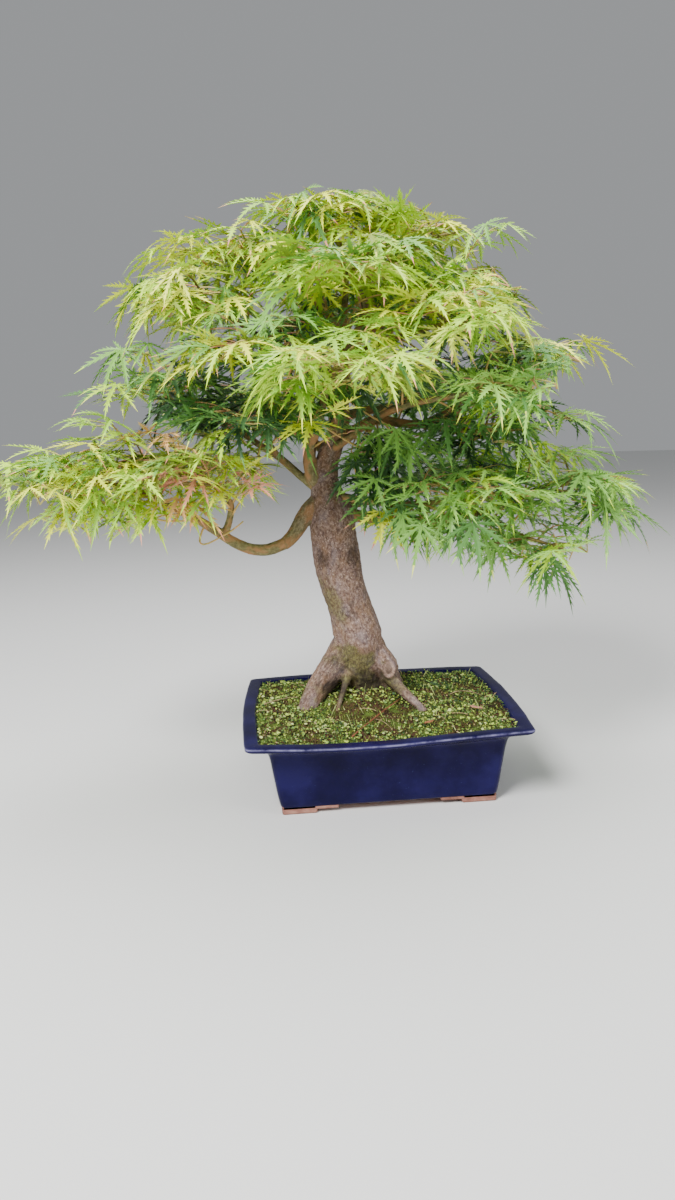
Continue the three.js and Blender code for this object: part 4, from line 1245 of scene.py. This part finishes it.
def grown_sprays():
    """All twigs of the crown as meshes, and the spots for leaves on them."""
    sprays = {"twigs": [], "spots": []}
    own = random_stream(SPRIGS_SEED)
    for start, end, hang in SPRIGS:
        start, end = np.array(start, float), np.array(end, float)
        arch = arched(start, end, TWIG_ARCH * np.linalg.norm(end - start))
        sprout(arch, PAIRS_ON_FINE, SPRIG_RADII, SHOOT, sprays, (None, own, hang))
    for name, mass in MASSES.items():
        stem, side_twigs, thick, joint = main_twigs(mass)
        own = random_stream(mass[3] + MASS_SEEDS_FROM)
        line = np.vstack([joint, on_arch(stem, np.linspace(0, STEM_DRAWN, STEM_POINTS))])
        radii = np.concatenate([[thick], np.linspace(thick, STEM_TIP, STEM_POINTS)])
        sprays["twigs"].append(with_look(tube(line, radii, STEM_SIDES), TWIG))
        heading = unit((line[-1] - line[-4]) * [1, 1, 0])
        spots = [(line[-1], hand) for hand in END_LEAVES]
        sprays["spots"].append((spots, heading, name, own, None))
        for arch in side_twigs:
            sprout(arch, PAIRS_ON_MAIN, MAIN_RADII, TWIG, sprays, (name, own, None))
        count = FLAT_FINE_TWIGS if name in FLAT_PADS else FINE_TWIGS
        for arch in fine_twigs(mass, [stem, *side_twigs], count, own):
            sprout(arch, PAIRS_ON_FINE, FINE_RADII, SHOOT, sprays, (name, own, None))
    for arch in np.array(SHOOTS, float):
        line = on_arch(arch, np.linspace(0, 1, TWIG_POINTS))
        radii = np.linspace(*SHOOT_RADII, TWIG_POINTS)
        sprays["twigs"].append(with_look(tube(line, radii, TWIG_SIDES), SHOOT))
    for arch in bough_twigs():
        sprout(arch, [], BOUGH_TWIG_RADII, SHOOT, sprays, (None, own, None))
    return sprays["twigs"], sprays["spots"]


def place_leaves(spots):
    """A leaf at each spot that has room: in its own mass's space, clear of limbs and other palms."""
    leaves, palms = [], np.full((1, 3), 1e4)
    for places, heading, name, chance, hang in spots:
        colours = None
        for root, hand in places:
            for _ in range(LEAF_TRIES):
                leaf = Leaf(root, heading, hand, name in FLAT_PADS, hang, chance)
                roomy = np.linalg.norm(palms - leaf.palm, axis=1).min() > LEAF_SPACING
                at_home = not name or in_own_space(leaf.palm, name)
                if roomy and at_home and in_outline(leaf.reaches(), hang is not None):
                    if nearest_sample(leaf.reaches())[1].min() > LIMB_CLEARANCE:
                        break
            else:
                continue
            body, tip = TINTS[region(leaf.palm)]
            colours = colours or (pick(body, chance), pick(tip, chance))
            odd = next(chance) < ODD_LEAF
            leaf.body, leaf.tip = (pick(body, chance), pick(tip, chance)) if odd else colours
            leaves.append(leaf)
            palms = np.vstack([palms, leaf.palm])
    return leaves


def stalk(leaf):
    """A thin stalk that leaves its twig level and comes up under the palm."""
    bend = (leaf.root + leaf.palm) / 2 + UP * STALK_RISE - leaf.forward * PALM_OVERLAP
    base = leaf.palm + leaf.forward * PALM_OVERLAP - leaf.normal * UNDER_PALM
    line = on_arch((leaf.root, bend, base), np.linspace(0, 1, STALK_POINTS))
    return tube(line, np.linspace(*STALK_RADII, STALK_POINTS), STALK_SIDES)


def foliage():
    """Twigs, leaf stalks and leaves, the leaves in a few pieces because they are many faces."""
    twigs, spots = grown_sprays()
    leaves = place_leaves(spots)
    twig_looks = [shoot_look("twig", "645a2c", "a3904c"), shoot_look("shoot", "a8994a", "d8a86c")]
    add_piece("twigs", join(twigs), twig_looks, FOLIAGE)
    stalks = [with_look(stalk(leaf), int(leaf.tip % 2)) for leaf in leaves]
    stalk_looks = [shoot_look("stalk", "a9a850", "cdb878"), shoot_look("red_stalk", "b97f5a", "cf9c7e")]
    add_piece("leaf_stalks", join(stalks), stalk_looks, FOLIAGE)
    chance = random_stream(LEAF_KINDS_SEED)
    kinds = [leaf_kind(chance) for _ in range(LEAF_KINDS)]
    looks = [leaf_look(name) for name in COLOUR_NAMES]
    leaves.sort(key=lambda leaf: leaf.palm[2])
    for number in range(LEAF_PIECES):
        mesh = leaf_mesh(leaves[number::LEAF_PIECES], kinds)
        add_piece(f"leaves_{number + 1}", mesh, looks, FOLIAGE, smooth=False)


# Pot


def rim_share(z):
    """0 on the pot's straight sides, 1 at its rim."""
    return np.clip((z - STRAIGHT_BELOW_Z) / RIM_BLEND, 0, 1)


def bowed_ring(z, inset_x, inset_y, corner, per_side=18, per_corner=6):
    """One level of the pot: a rectangle with swelling sides and round corners, sunk at the front."""
    half_x, half_y = POT_LENGTH / 2 - inset_x, POT_WIDTH / 2 - inset_y
    points = []
    sides = [(half_x, half_y, SIDE_BOW), (half_y, half_x, END_BOW)] * 2
    for turn, (half, reach, bow) in enumerate(sides):
        s = np.linspace(-1, 1, per_side)
        side = np.stack([s * (half - corner), -reach - bow * rim_share(z) * (1 - s * s)], axis=1)
        arc = np.linspace(-math.pi / 2, 0, per_corner + 1)[1:-1]
        bend = corner * np.stack([np.cos(arc), np.sin(arc)], axis=1)
        both = np.vstack([side, bend + [half - corner, corner - reach]])
        cos, sin = math.cos(turn * math.pi / 2), math.sin(turn * math.pi / 2)
        points.append(both @ np.array([[cos, sin], [-sin, cos]]))
    ring = np.vstack(points)
    return np.column_stack([ring, np.full(len(ring), float(z)) - sag(ring, z)])


def sag(ring, z):
    """How far the front of the rim has sunk in the kiln."""
    across = np.exp(-(((ring[:, 0] - SAG_AT_X) / SAG_SPREAD) ** 2))
    return rim_share(z) * KILN_SAG * across * np.clip(-2 * ring[:, 1] / POT_WIDTH, 0, 1)


def rounded(profile, rounds=2):
    """The profile with its corners cut again and again, so that its edges are soft."""
    line = np.array(profile, float)
    for _ in range(rounds):
        a, b = line[:-1], line[1:]
        cut = np.stack([0.75 * a + 0.25 * b, 0.25 * a + 0.75 * b], axis=1).reshape(-1, 4)
        line = np.vstack([line[:1], cut, line[-1:]])
    return line


def pot():
    levels = rounded(POT_PROFILE)
    levels = np.vstack([levels[:1] + [0, BASE_STEP, BASE_STEP, 0], levels])
    rings = [bowed_ring(*level) for level in levels]
    points = np.vstack([*rings, rings[0].mean(axis=0), rings[-1].mean(axis=0)])
    triangles = walled(len(rings[0]), len(rings))
    uneven = fractal(points / UNEVEN_SIZE, 2, 4)[:, None] * UNEVEN_BY
    points = points + uneven * ramp(points[:, 2], *UNEVEN_FROM_Z)[:, None]
    # edge: where the painted highlight along the lip lies
    edge = np.exp(-(((levels[:, 0] - LIP_Z) / LIP_BAND) ** 2)) * (levels[:, 1] < LIP_INSET)
    edge = np.append(np.repeat(edge, len(rings[0])), [0, 0])
    bare = np.zeros(len(points))
    bare[: len(rings[0])] = 1
    bare[-2] = 1
    mesh = with_look((points, triangles))
    values = {"edge": edge, "bare": bare}
    body = add_piece("glazed_pot", mesh, [glaze_look()], ["pot"], values=values)
    cut_drains(body)
    feet = join([block for x in (1, -1) for y in (1, -1) for block in foot(x, y)])
    add_piece("pot_feet", feet, [clay_look()], ["pot"])


def cut_drains(body):
    for x in (-DRAIN_AT_X, DRAIN_AT_X):
        line = np.array([[x, 0.0, z] for z in DRAIN_Z])
        points, triangles = tube(line, [DRAIN_RADIUS] * 3, DRAIN_SIDES)
        cutter = linked("drain", mesh_data("drain", points * MM + POT_CENTRE, triangles))
        modifier = body.modifiers.new("drain", "BOOLEAN")
        modifier.operation = "DIFFERENCE"
        modifier.object = cutter
        drilled = body.evaluated_get(bpy.context.evaluated_depsgraph_get())
        cut = bpy.data.meshes.new_from_object(drilled)
        body.modifiers.clear()
        body.data = cut
        bpy.data.objects.remove(cutter)


def foot(sign_x, sign_y):
    """The two blocks of an angle-shaped foot with a step, their edges rounded."""
    corner_x = POT_LENGTH / 2 - BASE_INSET[0] - FOOT_INSET
    corner_y = POT_WIDTH / 2 - BASE_INSET[1] - FOOT_INSET
    meshes = []
    for (leg_x, leg_y, thick), low in ((FOOT_PAD, 0), (FOOT_STEP, FOOT_HEIGHT / 2)):
        shape = [(0, 0), (leg_x, 0), (leg_x, thick), (thick, thick), (thick, leg_y), (0, leg_y)]
        block = bmesh.new()
        outline = [(sign_x * (corner_x - x), sign_y * (corner_y - y)) for x, y in shape]
        face = block.faces.new([block.verts.new((x, y, low)) for x, y in outline])
        pushed = bmesh.ops.extrude_face_region(block, geom=[face])
        raised = [v for v in pushed["geom"] if isinstance(v, bmesh.types.BMVert)]
        bmesh.ops.translate(block, verts=raised, vec=(0, 0, FOOT_HEIGHT + FOOT_HIDDEN - low))
        bmesh.ops.bevel(
            block, geom=block.edges, offset=FOOT_ROUNDING, segments=4, profile=0.5, affect="EDGES"
        )
        bmesh.ops.recalc_face_normals(block, faces=block.faces)
        bmesh.ops.triangulate(block, faces=block.faces)
        points = np.array([v.co for v in block.verts])
        block.verts.index_update()
        triangles = np.array([[v.index for v in f.verts] for f in block.faces])
        block.free()
        meshes.append(with_look((points, triangles)))
    return meshes


def glaze_look():
    look = Look("glaze", 0.17, Specular_IOR_Level=0.12)
    place = look.place()
    pools = look.grain(place, 0.05, 4, 0.55)
    specks = look.grain(place, 0.0022, 3, 0.6)
    tone = look.shades(pools, [(0.34, "0b082c"), (0.5, "100b36"), (0.66, "1a1546")])
    tone = look.mix(look.band(specks, 0.66, 0.8), tone, "2a2e5c")
    highlight_patches = look.band(look.grain(place, 0.018, 4, 0.7), 0.36, 0.62)
    # Painted highlight: the lip's edge is mixed to pale lilac, in broken patches
    tone = look.mix(look.times(look.times(look.value("edge"), highlight_patches), 0.75), tone, "8e8bb0")
    tone = look.mix(look.value("bare"), tone, "9a6a55")
    look.colour(tone)
    look.bump(look.grain(place, 0.012, 3), 0.0006, 0.35)
    return look.material


def clay_look():
    look = Look("bare_clay", 0.85, Specular_IOR_Level=0.3)
    place = look.place()
    tone = look.shades(look.grain(place, 0.012, 6), [(0.3, "6c483b"), (0.5, "95675a"), (0.7, "b18773")])
    tone = look.mix(look.band(look.grain(place, 0.0015, 3), 0.6, 0.75), tone, "5b3c31")
    look.colour(tone)
    look.bump(look.grain(place, 0.002, 4), 0.0004, 0.6)
    return look.material


# Soil, moss and what lies on it


def inner_half(s, t):
    """Half length and half width of the soil, at shares of the pot's half length and half width."""
    half_x = POT_LENGTH / 2 - RIM_INSET + END_BOW * (1 - t * t)
    half_y = POT_WIDTH / 2 - RIM_INSET + SIDE_BOW * (1 - s * s)
    return half_x, half_y


def inside_rim(places):
    """How far places lie inside the soil's edge along x and along y."""
    s = np.clip(places[:, 0] / (POT_LENGTH / 2), -1, 1)
    t = np.clip(places[:, 1] / (POT_WIDTH / 2), -1, 1)
    half_x, half_y = inner_half(s, t)
    return half_x - np.abs(places[:, 0]), half_y - np.abs(places[:, 1])


def ground_height(places):
    """Height of the soil with its mossy cushions, at x and y."""
    inside = np.minimum(*inside_rim(places))
    height = SOIL_EDGE_Z + (GROUND_Z - SOIL_EDGE_Z) * ramp(inside, 0, EDGE_SLOPE)
    offset = (places[:, :2] - MOUND_CENTRE) / MOUND_STRETCH / MOUND_RADIUS
    share = np.linalg.norm(offset, axis=1)
    height += MOUND_HEIGHT * np.interp(share, MOUND_SHARES, MOUND_OUTLINE)
    flat = np.column_stack([places[:, :2], np.zeros(len(places))])
    cushions = noise(flat / CUSHION_SIZE, 11) ** 2 * CUSHION_HEIGHT
    cushions += fractal(flat / LUMPS_SIZE, 3, 12) * LUMPS_HEIGHT
    return height + cushions * ramp(inside, *CUSHIONS_FROM_EDGE) - sag(places, RIM_Z)


def ground():
    """The mossy top of the soil as a grid, a flat grid under it, and a skirt that joins the two."""
    x = np.linspace(-1, 1, int(POT_LENGTH / GROUND_CELL))
    y = np.linspace(-1, 1, int(POT_WIDTH / GROUND_CELL))
    s, t = (grid.ravel() for grid in np.meshgrid(x, y, indexing="ij"))
    half_x, half_y = inner_half(s, t)
    flat = np.stack([s * half_x, t * half_y], axis=1)
    top = np.column_stack([flat, ground_height(flat)])
    i, j = (grid.ravel() for grid in np.meshgrid(np.arange(len(x) - 1), np.arange(len(y) - 1)))
    a = i * len(y) + j
    b, c, d = a + len(y), a + len(y) + 1, a + 1
    top_faces = np.vstack([np.stack([a, b, c], -1), np.stack([a, c, d], -1)])
    under = np.column_stack([
        s * (POT_LENGTH / 2 - UNDER_INSET), t * (POT_WIDTH / 2 - UNDER_INSET), np.full(len(s), UNDER_Z),
    ])
    count = len(top)
    rim = np.concatenate([
        np.arange(len(x)) * len(y), (len(x) - 1) * len(y) + np.arange(1, len(y)),
        np.arange(len(x) - 2, -1, -1) * len(y) + len(y) - 1, np.arange(len(y) - 2, 0, -1),
    ])
    after = np.roll(rim, -1)
    skirt = [np.stack([after, rim, rim + count], -1), np.stack([after, rim + count, after + count], -1)]
    faces = np.vstack([top_faces, top_faces[:, ::-1] + count, *skirt])
    mesh = with_look((np.vstack([top, under]), faces))
    add_piece("soil_and_moss", mesh, [moss_look()], ["soil", "moss_mound"])


def moss_look():
    look = Look("moss", 0.95, Specular_IOR_Level=0.2)
    place = look.place()
    patches = look.grain(place, 0.022, 4, 0.6)
    tufts = look.grain(place, 0.0028, 5, 0.7)
    tone = look.shades(patches, [(0.4, "4a3425"), (0.5, "47451f"), (0.6, "566a2a")])
    # Painted shade: nearly black where the tufts' relief is low, between them
    tone = look.mix(look.band(tufts, 0.47, 0.32), tone, "15180c")
    # Painted highlight: a light green where the tufts' relief is high, on their tops
    tone = look.mix(look.band(tufts, 0.62, 0.74), tone, "8d9a4c")
    look.colour(tone)
    look.bump(tufts, 0.0012, 0.9)
    return look.material


FREE_RIM = 1.5
FREE_OF_WOOD = 0.5
LEAFLET_WIDTH = 0.8
LEAFLET_DISH = 0.25
BLADE_WIDTH = 0.8
BLADE_LEAN = 0.6
BLADE_BEND = 0.12


def scattered(count, seed):
    """Random places on the ground clear of the trunk, with their height."""
    draw = np.random.default_rng(seed)
    flat = draw.uniform(-1, 1, (count, 2)) * [POT_LENGTH / 2, POT_WIDTH / 2]
    places = np.column_stack([flat, ground_height(flat)])
    places = places[np.minimum(*inside_rim(flat)) > FREE_RIM]
    return places[nearest_sample(places)[1] > FREE_OF_WOOD], draw


def fans(places, draw, sides, sizes, lift, tilt):
    """Small leaflets: at each place a tilted fan of triangles round its middle, like a dish."""
    count = len(places)
    turn = draw.uniform(0, 2 * math.pi, count)
    lean = draw.uniform(tilt / 4, tilt, count)
    normal = np.stack([np.sin(lean) * np.cos(turn), np.sin(lean) * np.sin(turn), np.cos(lean)], 1)
    left = unit(np.cross(normal, [0.3, 0.2, 1.0]) + 1e-6)
    top = np.cross(normal, left)
    size = draw.uniform(*sizes, count)
    middle = places + UP * draw.uniform(*lift, count)[:, None]
    angles = 2 * math.pi * np.arange(sides) / sides
    spoke = np.cos(angles)[:, None] * left[:, None]
    spoke = spoke + np.sin(angles)[:, None] * top[:, None] * LEAFLET_WIDTH
    rim = middle[:, None] + size[:, None, None] * (spoke + LEAFLET_DISH * normal[:, None])
    points = np.concatenate([middle[:, None], rim], axis=1).reshape(-1, 3)
    k = np.arange(sides)
    fan = np.stack([np.zeros(sides, int), 1 + k, 1 + (k + 1) % sides], -1)
    faces = (np.arange(count)[:, None, None] * (sides + 1) + fan).reshape(-1, 3)
    return points, faces


def blades(places, draw, heights):
    """Thin upright shoots, two triangles each."""
    count = len(places)
    turn = draw.uniform(0, 2 * math.pi, count)
    side = np.stack([np.cos(turn), np.sin(turn), np.zeros(count)], 1) * BLADE_WIDTH / 2
    height = draw.uniform(*heights, count)
    lean = draw.uniform(-BLADE_LEAN, BLADE_LEAN, (count, 2)) * height[:, None]
    tip = places + np.column_stack([lean, height])
    waist = places * 0.5 + tip * 0.5 + UP * BLADE_BEND * height[:, None]
    points = np.stack([places - side, places + side, waist, tip], axis=1).reshape(-1, 3)
    faces = (np.arange(count)[:, None, None] * 4 + [[0, 1, 2], [0, 2, 3]]).reshape(-1, 3)
    return points, faces


GREENERY = {
    "sprig_pale": "ccd68a", "sprig_bright": "b6cc58", "sprig_green": "7b9c4e", "sprig_dark": "3a5630",
}
LITTER = {"litter_brown": "5a3d28", "litter_dark": "2a2019", "litter_straw": "b79f74"}
# Places where the soil shows: x, y and radius
BARE_AT = [
    [-2, -74, 18], [-40, -38, 22], [28, -34, 12], [72, 12, 15], [10, -50, 18], [-110, -60, 10],
    [-14, -56, 18], [10, 26, 14], [-44, -44, 12], [104, 36, 13], [96, -44, 9],
    [52, -80, 8], [-78, -88, 9], [-64, 30, 12], [118, 30, 8], [-24, -100, 7],
]
# The share of leaflets that bare soil loses, and where along a radius that sets in and is full
BARE_SHARE = 0.97
BARE_FROM = [1.3, 0.5]
# Thin patches: their size, the noise they lie below, and the share of leaflets they lose
PATCHES_SIZE = 20
PATCHES_BELOW = 0.35
PATCHES_SHARE = 0.6
CLUMPS_SIZE = 9
# Leaflets of the moss and of the small plants over it: seed, how many are drawn, their sizes, how
# high they lie, how far they tilt, how closely they keep to clumps, and the shares of GREENERY
LEAFLETS = [
    [21, 13000, (0.7, 1.6), (0.2, 3.2), 1.5, -1, (0.07, 0.35, 0.37, 0.21)],
    [22, 2600, (1.3, 2.4), (1.5, 4.4), 1.1, 0.05, (0.3, 0.46, 0.21, 0.03)],
]
LEAFLET_SIDES = 6
# Upright shoots of the moss and taller ones: seed, how many are drawn, heights, shares of GREENERY
BLADES = [
    [23, 4500, (2.0, 4.5), (0.06, 0.34, 0.4, 0.2)],
    [24, 60, (9, 18), (0.5, 0.3, 0.2, 0)],
]
# Towards the back on the right the leaflets are darker: where that sets in and is full along x plus
# a share of y, how ragged its edge is and in what size, and how many leaflets are darker there
DARKER_FROM = [30, 90]
DARKER_Y_SHARE = 0.8
DARKER_EDGE = 30
DARKER_EDGE_SIZE = 25
DARKER_SHARE = 0.75


def plain_look(name, code, roughness=0.7):
    look = Look(name, roughness, Specular_IOR_Level=0.3)
    tints = look.grain(look.place(), 0.004, 3)
    dark = "".join(f"{int(int(code[i : i + 2], 16) * 0.72):02x}" for i in (0, 2, 4))
    look.colour(look.shades(tints, [(0.35, dark), (0.6, code)]))
    return look.material


def dealt(mesh, per, shares, draw):
    """One material number for each item of per faces, dealt out by shares."""
    points, faces = mesh
    items = len(faces) // per
    picked = draw.choice(len(shares), items, p=np.array(shares) / sum(shares))
    return points, faces, np.repeat(picked, per)


def grown_over(places, draw, clumps):
    """Whether a leaflet grows at each of the places: few on bare soil, fewer in thin patches."""
    flat = places * [1, 1, 0]
    start, full = BARE_FROM
    bare = sum(ramp(away(places[:, :2], (x, y), 1), start * r, full * r) for x, y, r in BARE_AT)
    thin = noise(flat / PATCHES_SIZE, 31) * 0.5 + 0.5 < PATCHES_BELOW
    lost = BARE_SHARE * np.clip(bare, 0, 1) + PATCHES_SHARE * thin
    return (draw.uniform(0, 1, len(places)) > lost) & (noise(flat / CLUMPS_SIZE, 41) > clumps)


def greenery():
    meshes = []
    for seed, count, sizes, lift, tilt, clumps, shares in LEAFLETS:
        places, draw = scattered(count, seed)
        places = places[grown_over(places, draw, clumps)]
        mesh = fans(places, draw, LEAFLET_SIDES, sizes, lift, tilt)
        points, faces, looks = dealt(mesh, LEAFLET_SIDES, shares, draw)
        flat = places * [1, 1, 0]
        ragged = DARKER_EDGE * noise(flat / DARKER_EDGE_SIZE, 7)
        dark_side = ramp(flat[:, 0] + flat[:, 1] * DARKER_Y_SHARE + ragged, *DARKER_FROM)
        darker = draw.uniform(0, 1, len(flat)) < DARKER_SHARE * dark_side
        darkest = len(GREENERY) - 1
        meshes.append((points, faces, np.minimum(looks + np.repeat(darker, LEAFLET_SIDES), darkest)))
    for seed, count, heights, shares in BLADES:
        places, draw = scattered(count, seed)
        meshes.append(dealt(blades(places, draw, heights), 2, shares, draw))
    looks = [plain_look(name, code, 0.6) for name, code in GREENERY.items()]
    add_piece("ground_greenery", join(meshes), looks, ["moss_mound"], smooth=False)


# Crumbs: seed, how many are drawn, sides, sizes, how high they lie, how far they tilt, and the
# shares of LITTER
CRUMBS = [25, 4800, 4, (0.6, 1.5), (0.5, 2.2), 1.0, (0.5, 0.3, 0.2)]
# Straws: seed and how many are drawn, lengths, rise of one end, arch, radii and how high they lie
STRAWS = [26, 120]
STRAW_LENGTHS = [6, 20]
STRAW_RISE = [-0.1, 0.2]
STRAW_ARCH = [1, 4]
STRAW_RADII = [0.25, 0.5]
STRAW_LIFT = 2
STRAW_POINTS = 5
STRAW_SIDES = 4


def litter():
    seed, count, sides, sizes, lift, tilt, shares = CRUMBS
    places, draw = scattered(count, seed)
    crumbs = dealt(fans(places, draw, sides, sizes, lift, tilt), sides, shares, draw)
    straws = []
    seed, count = STRAWS
    places, draw = scattered(count, seed)
    for place in places + UP * STRAW_LIFT:
        turn, length = draw.uniform(0, 6.28), draw.uniform(*STRAW_LENGTHS)
        way = np.array([math.cos(turn), math.sin(turn), draw.uniform(*STRAW_RISE)]) * length / 2
        bend = place + UP * draw.uniform(*STRAW_ARCH)
        line = on_arch((place - way, bend, place + way), np.linspace(0, 1, STRAW_POINTS))
        straw = tube(line, np.full(STRAW_POINTS, draw.uniform(*STRAW_RADII)), STRAW_SIDES)
        straws.append(with_look(straw, draw.integers(len(LITTER))))
    looks = [plain_look(name, code, 0.85) for name, code in LITTER.items()]
    add_piece("litter", join([crumbs, *straws]), looks, ["moss_mound"], smooth=False)


# Fallen twigs on the moss: start, bend and end as x and y, radius, and number of the look
FALLEN_TWIGS = [
    [[-38, -98], [-4, -52], [24, -16], 0.9, 0],
    [[-128, 10], [-108, 18], [-88, 20], 0.7, 1],
    [[84, 6], [100, 14], [118, -6], 0.6, 1],
    [[-10, -60], [-2, -76], [4, -92], 0.5, 1],
]
FALLEN_LIFT = 3
# Fallen leaves: x and y, turn in radians, length, and number of the look
FALLEN_LEAVES = [[100, -53, 2.6, 15, 0], [43, -88, 0.4, 12, 1]]
FALLEN_LEAF_LIFT = 4
FALLEN_LEAF_POINTS = 9
FALLEN_LEAF_WIDTH = 0.42
FALLEN_LEAF_RISE = 0.1
FALLEN_LEAF_FOLD = 0.35
FALLEN_LEAF_CURL = 0.15


def on_ground(x, y, lift):
    """The place that far above the ground at x and y."""
    return np.array([x, y, ground_height(np.array([[x, y]], float))[0] + lift])


def fallen_twigs():
    twigs = []
    for *stations, radius, look in FALLEN_TWIGS:
        start, bend, end = (on_ground(x, y, FALLEN_LIFT) for x, y in stations)
        line = on_arch((start, bend + UP * FALLEN_LIFT, end), np.linspace(0, 1, TWIG_POINTS))
        radii = np.linspace(radius, radius * 0.6, TWIG_POINTS)
        twigs.append(with_look(tube(line, radii, TWIG_SIDES), look))
    looks = [plain_look("fallen_twig", "8a4f38", 0.7), plain_look("dry_twig", "a08a68", 0.8)]
    add_piece("fallen_twigs", join(twigs), looks, ["moss_mound"])


def fallen_leaves():
    """Dry leaves as two strips of quads on both sides of a middle vein, folded and curled."""
    leaves = []
    count = FALLEN_LEAF_POINTS
    s = np.linspace(-1, 1, count)
    half = FALLEN_LEAF_WIDTH * np.sqrt(1 - s**2) * (1 - 0.25 * s)
    for x, y, turn, size, look in FALLEN_LEAVES:
        along = np.array([math.cos(turn), math.sin(turn), FALLEN_LEAF_RISE])
        across = np.cross(UP, along)
        rows = []
        for hand in (-1, 0, 1):
            height = FALLEN_LEAF_FOLD * abs(hand) * half + FALLEN_LEAF_CURL * s * s
            row = s[:, None] * along + hand * half[:, None] * across + UP * height[:, None]
            rows.append(on_ground(x, y, FALLEN_LEAF_LIFT) + size / 2 * row)
        quads = [[r * count + k, r * count + k + 1] for r in (0, 1) for k in range(count - 1)]
        faces = [[a, b, b + count] for a, b in quads] + [[a, b + count, a + count] for a, b in quads]
        leaves.append(with_look((np.vstack(rows), np.array(faces)), look))
    looks = [plain_look("fallen_leaf", "c98b76", 0.7), plain_look("old_leaf", "b0704a", 0.7)]
    add_piece("fallen_leaves", join(leaves), looks, ["moss_mound"])


# Floor, light and camera


FLOOR_RADIUS = 9
FLOOR_COLOUR = "dcdcda"


def floor():
    data = bpy.data.meshes.new("floor")
    shape = bmesh.new()
    bmesh.ops.create_circle(shape, cap_ends=True, radius=FLOOR_RADIUS, segments=64)
    shape.to_mesh(data)
    shape.free()
    look = Look("floor", 0.7, Specular_IOR_Level=0.2)
    look.colour(FLOOR_COLOUR)
    data.materials.append(look.material)
    linked("floor", data)


# Name, place and target in metres from the pot's centre, size in metres and power in watts of each
LIGHTS = [
    ["key", [-1.1, -1.5, 1.9], [0, 0, 0.35], 0.95, 117],
    ["top", [0.1, 0.3, 2.2], [0, 0, 0.3], 1.5, 38],
    ["fill", [1.6, -1.2, 0.9], [0, 0, 0.3], 1.4, 24],
]
SKY_COLOUR = "eef1f4"
SKY_STRENGTH = 0.39


def lights():
    for name, place, target, size, power in LIGHTS:
        data = bpy.data.lights.new(name, "AREA")
        data.shape = "DISK"
        data.size = size
        data.energy = power
        at = np.array(place) + POT_CENTRE
        back = unit(at - np.array(target) - POT_CENTRE)
        right = unit(np.cross(UP, back))
        linked(name, data).matrix_world = placed(right, np.cross(back, right), back, at)
    world = bpy.data.worlds.new("studio")
    world.use_nodes = True
    sky = world.node_tree.nodes["Background"]
    sky.inputs["Color"].default_value = linear(SKY_COLOUR)
    sky.inputs["Strength"].default_value = SKY_STRENGTH
    bpy.context.scene.world = world


def placed(right, up, back, at):
    """A matrix that turns and moves an object to these axes and this place in metres."""
    matrix = Matrix.Identity(4)
    for k, column in enumerate((right, up, back, at)):
        for row in range(3):
            matrix[row][k] = column[row]
    return matrix


def camera():
    data = bpy.data.cameras.new("camera")
    data.sensor_width = SENSOR_MM
    data.lens = FOCAL_PIXELS / PHOTO_HEIGHT * SENSOR_MM
    eye = linked("camera", data)
    at = np.array(CAMERA_AT) * MM + POT_CENTRE
    right, up, forward = (unit(np.array(v)) for v in (CAMERA_RIGHT, CAMERA_UP, CAMERA_FORWARD))
    eye.matrix_world = placed(right, up, -forward, at)
    bpy.context.scene.camera = eye


camera()
lights()
floor()
pot()
ground()
greenery()
litter()
fallen_twigs()
fallen_leaves()
wood()
foliage()
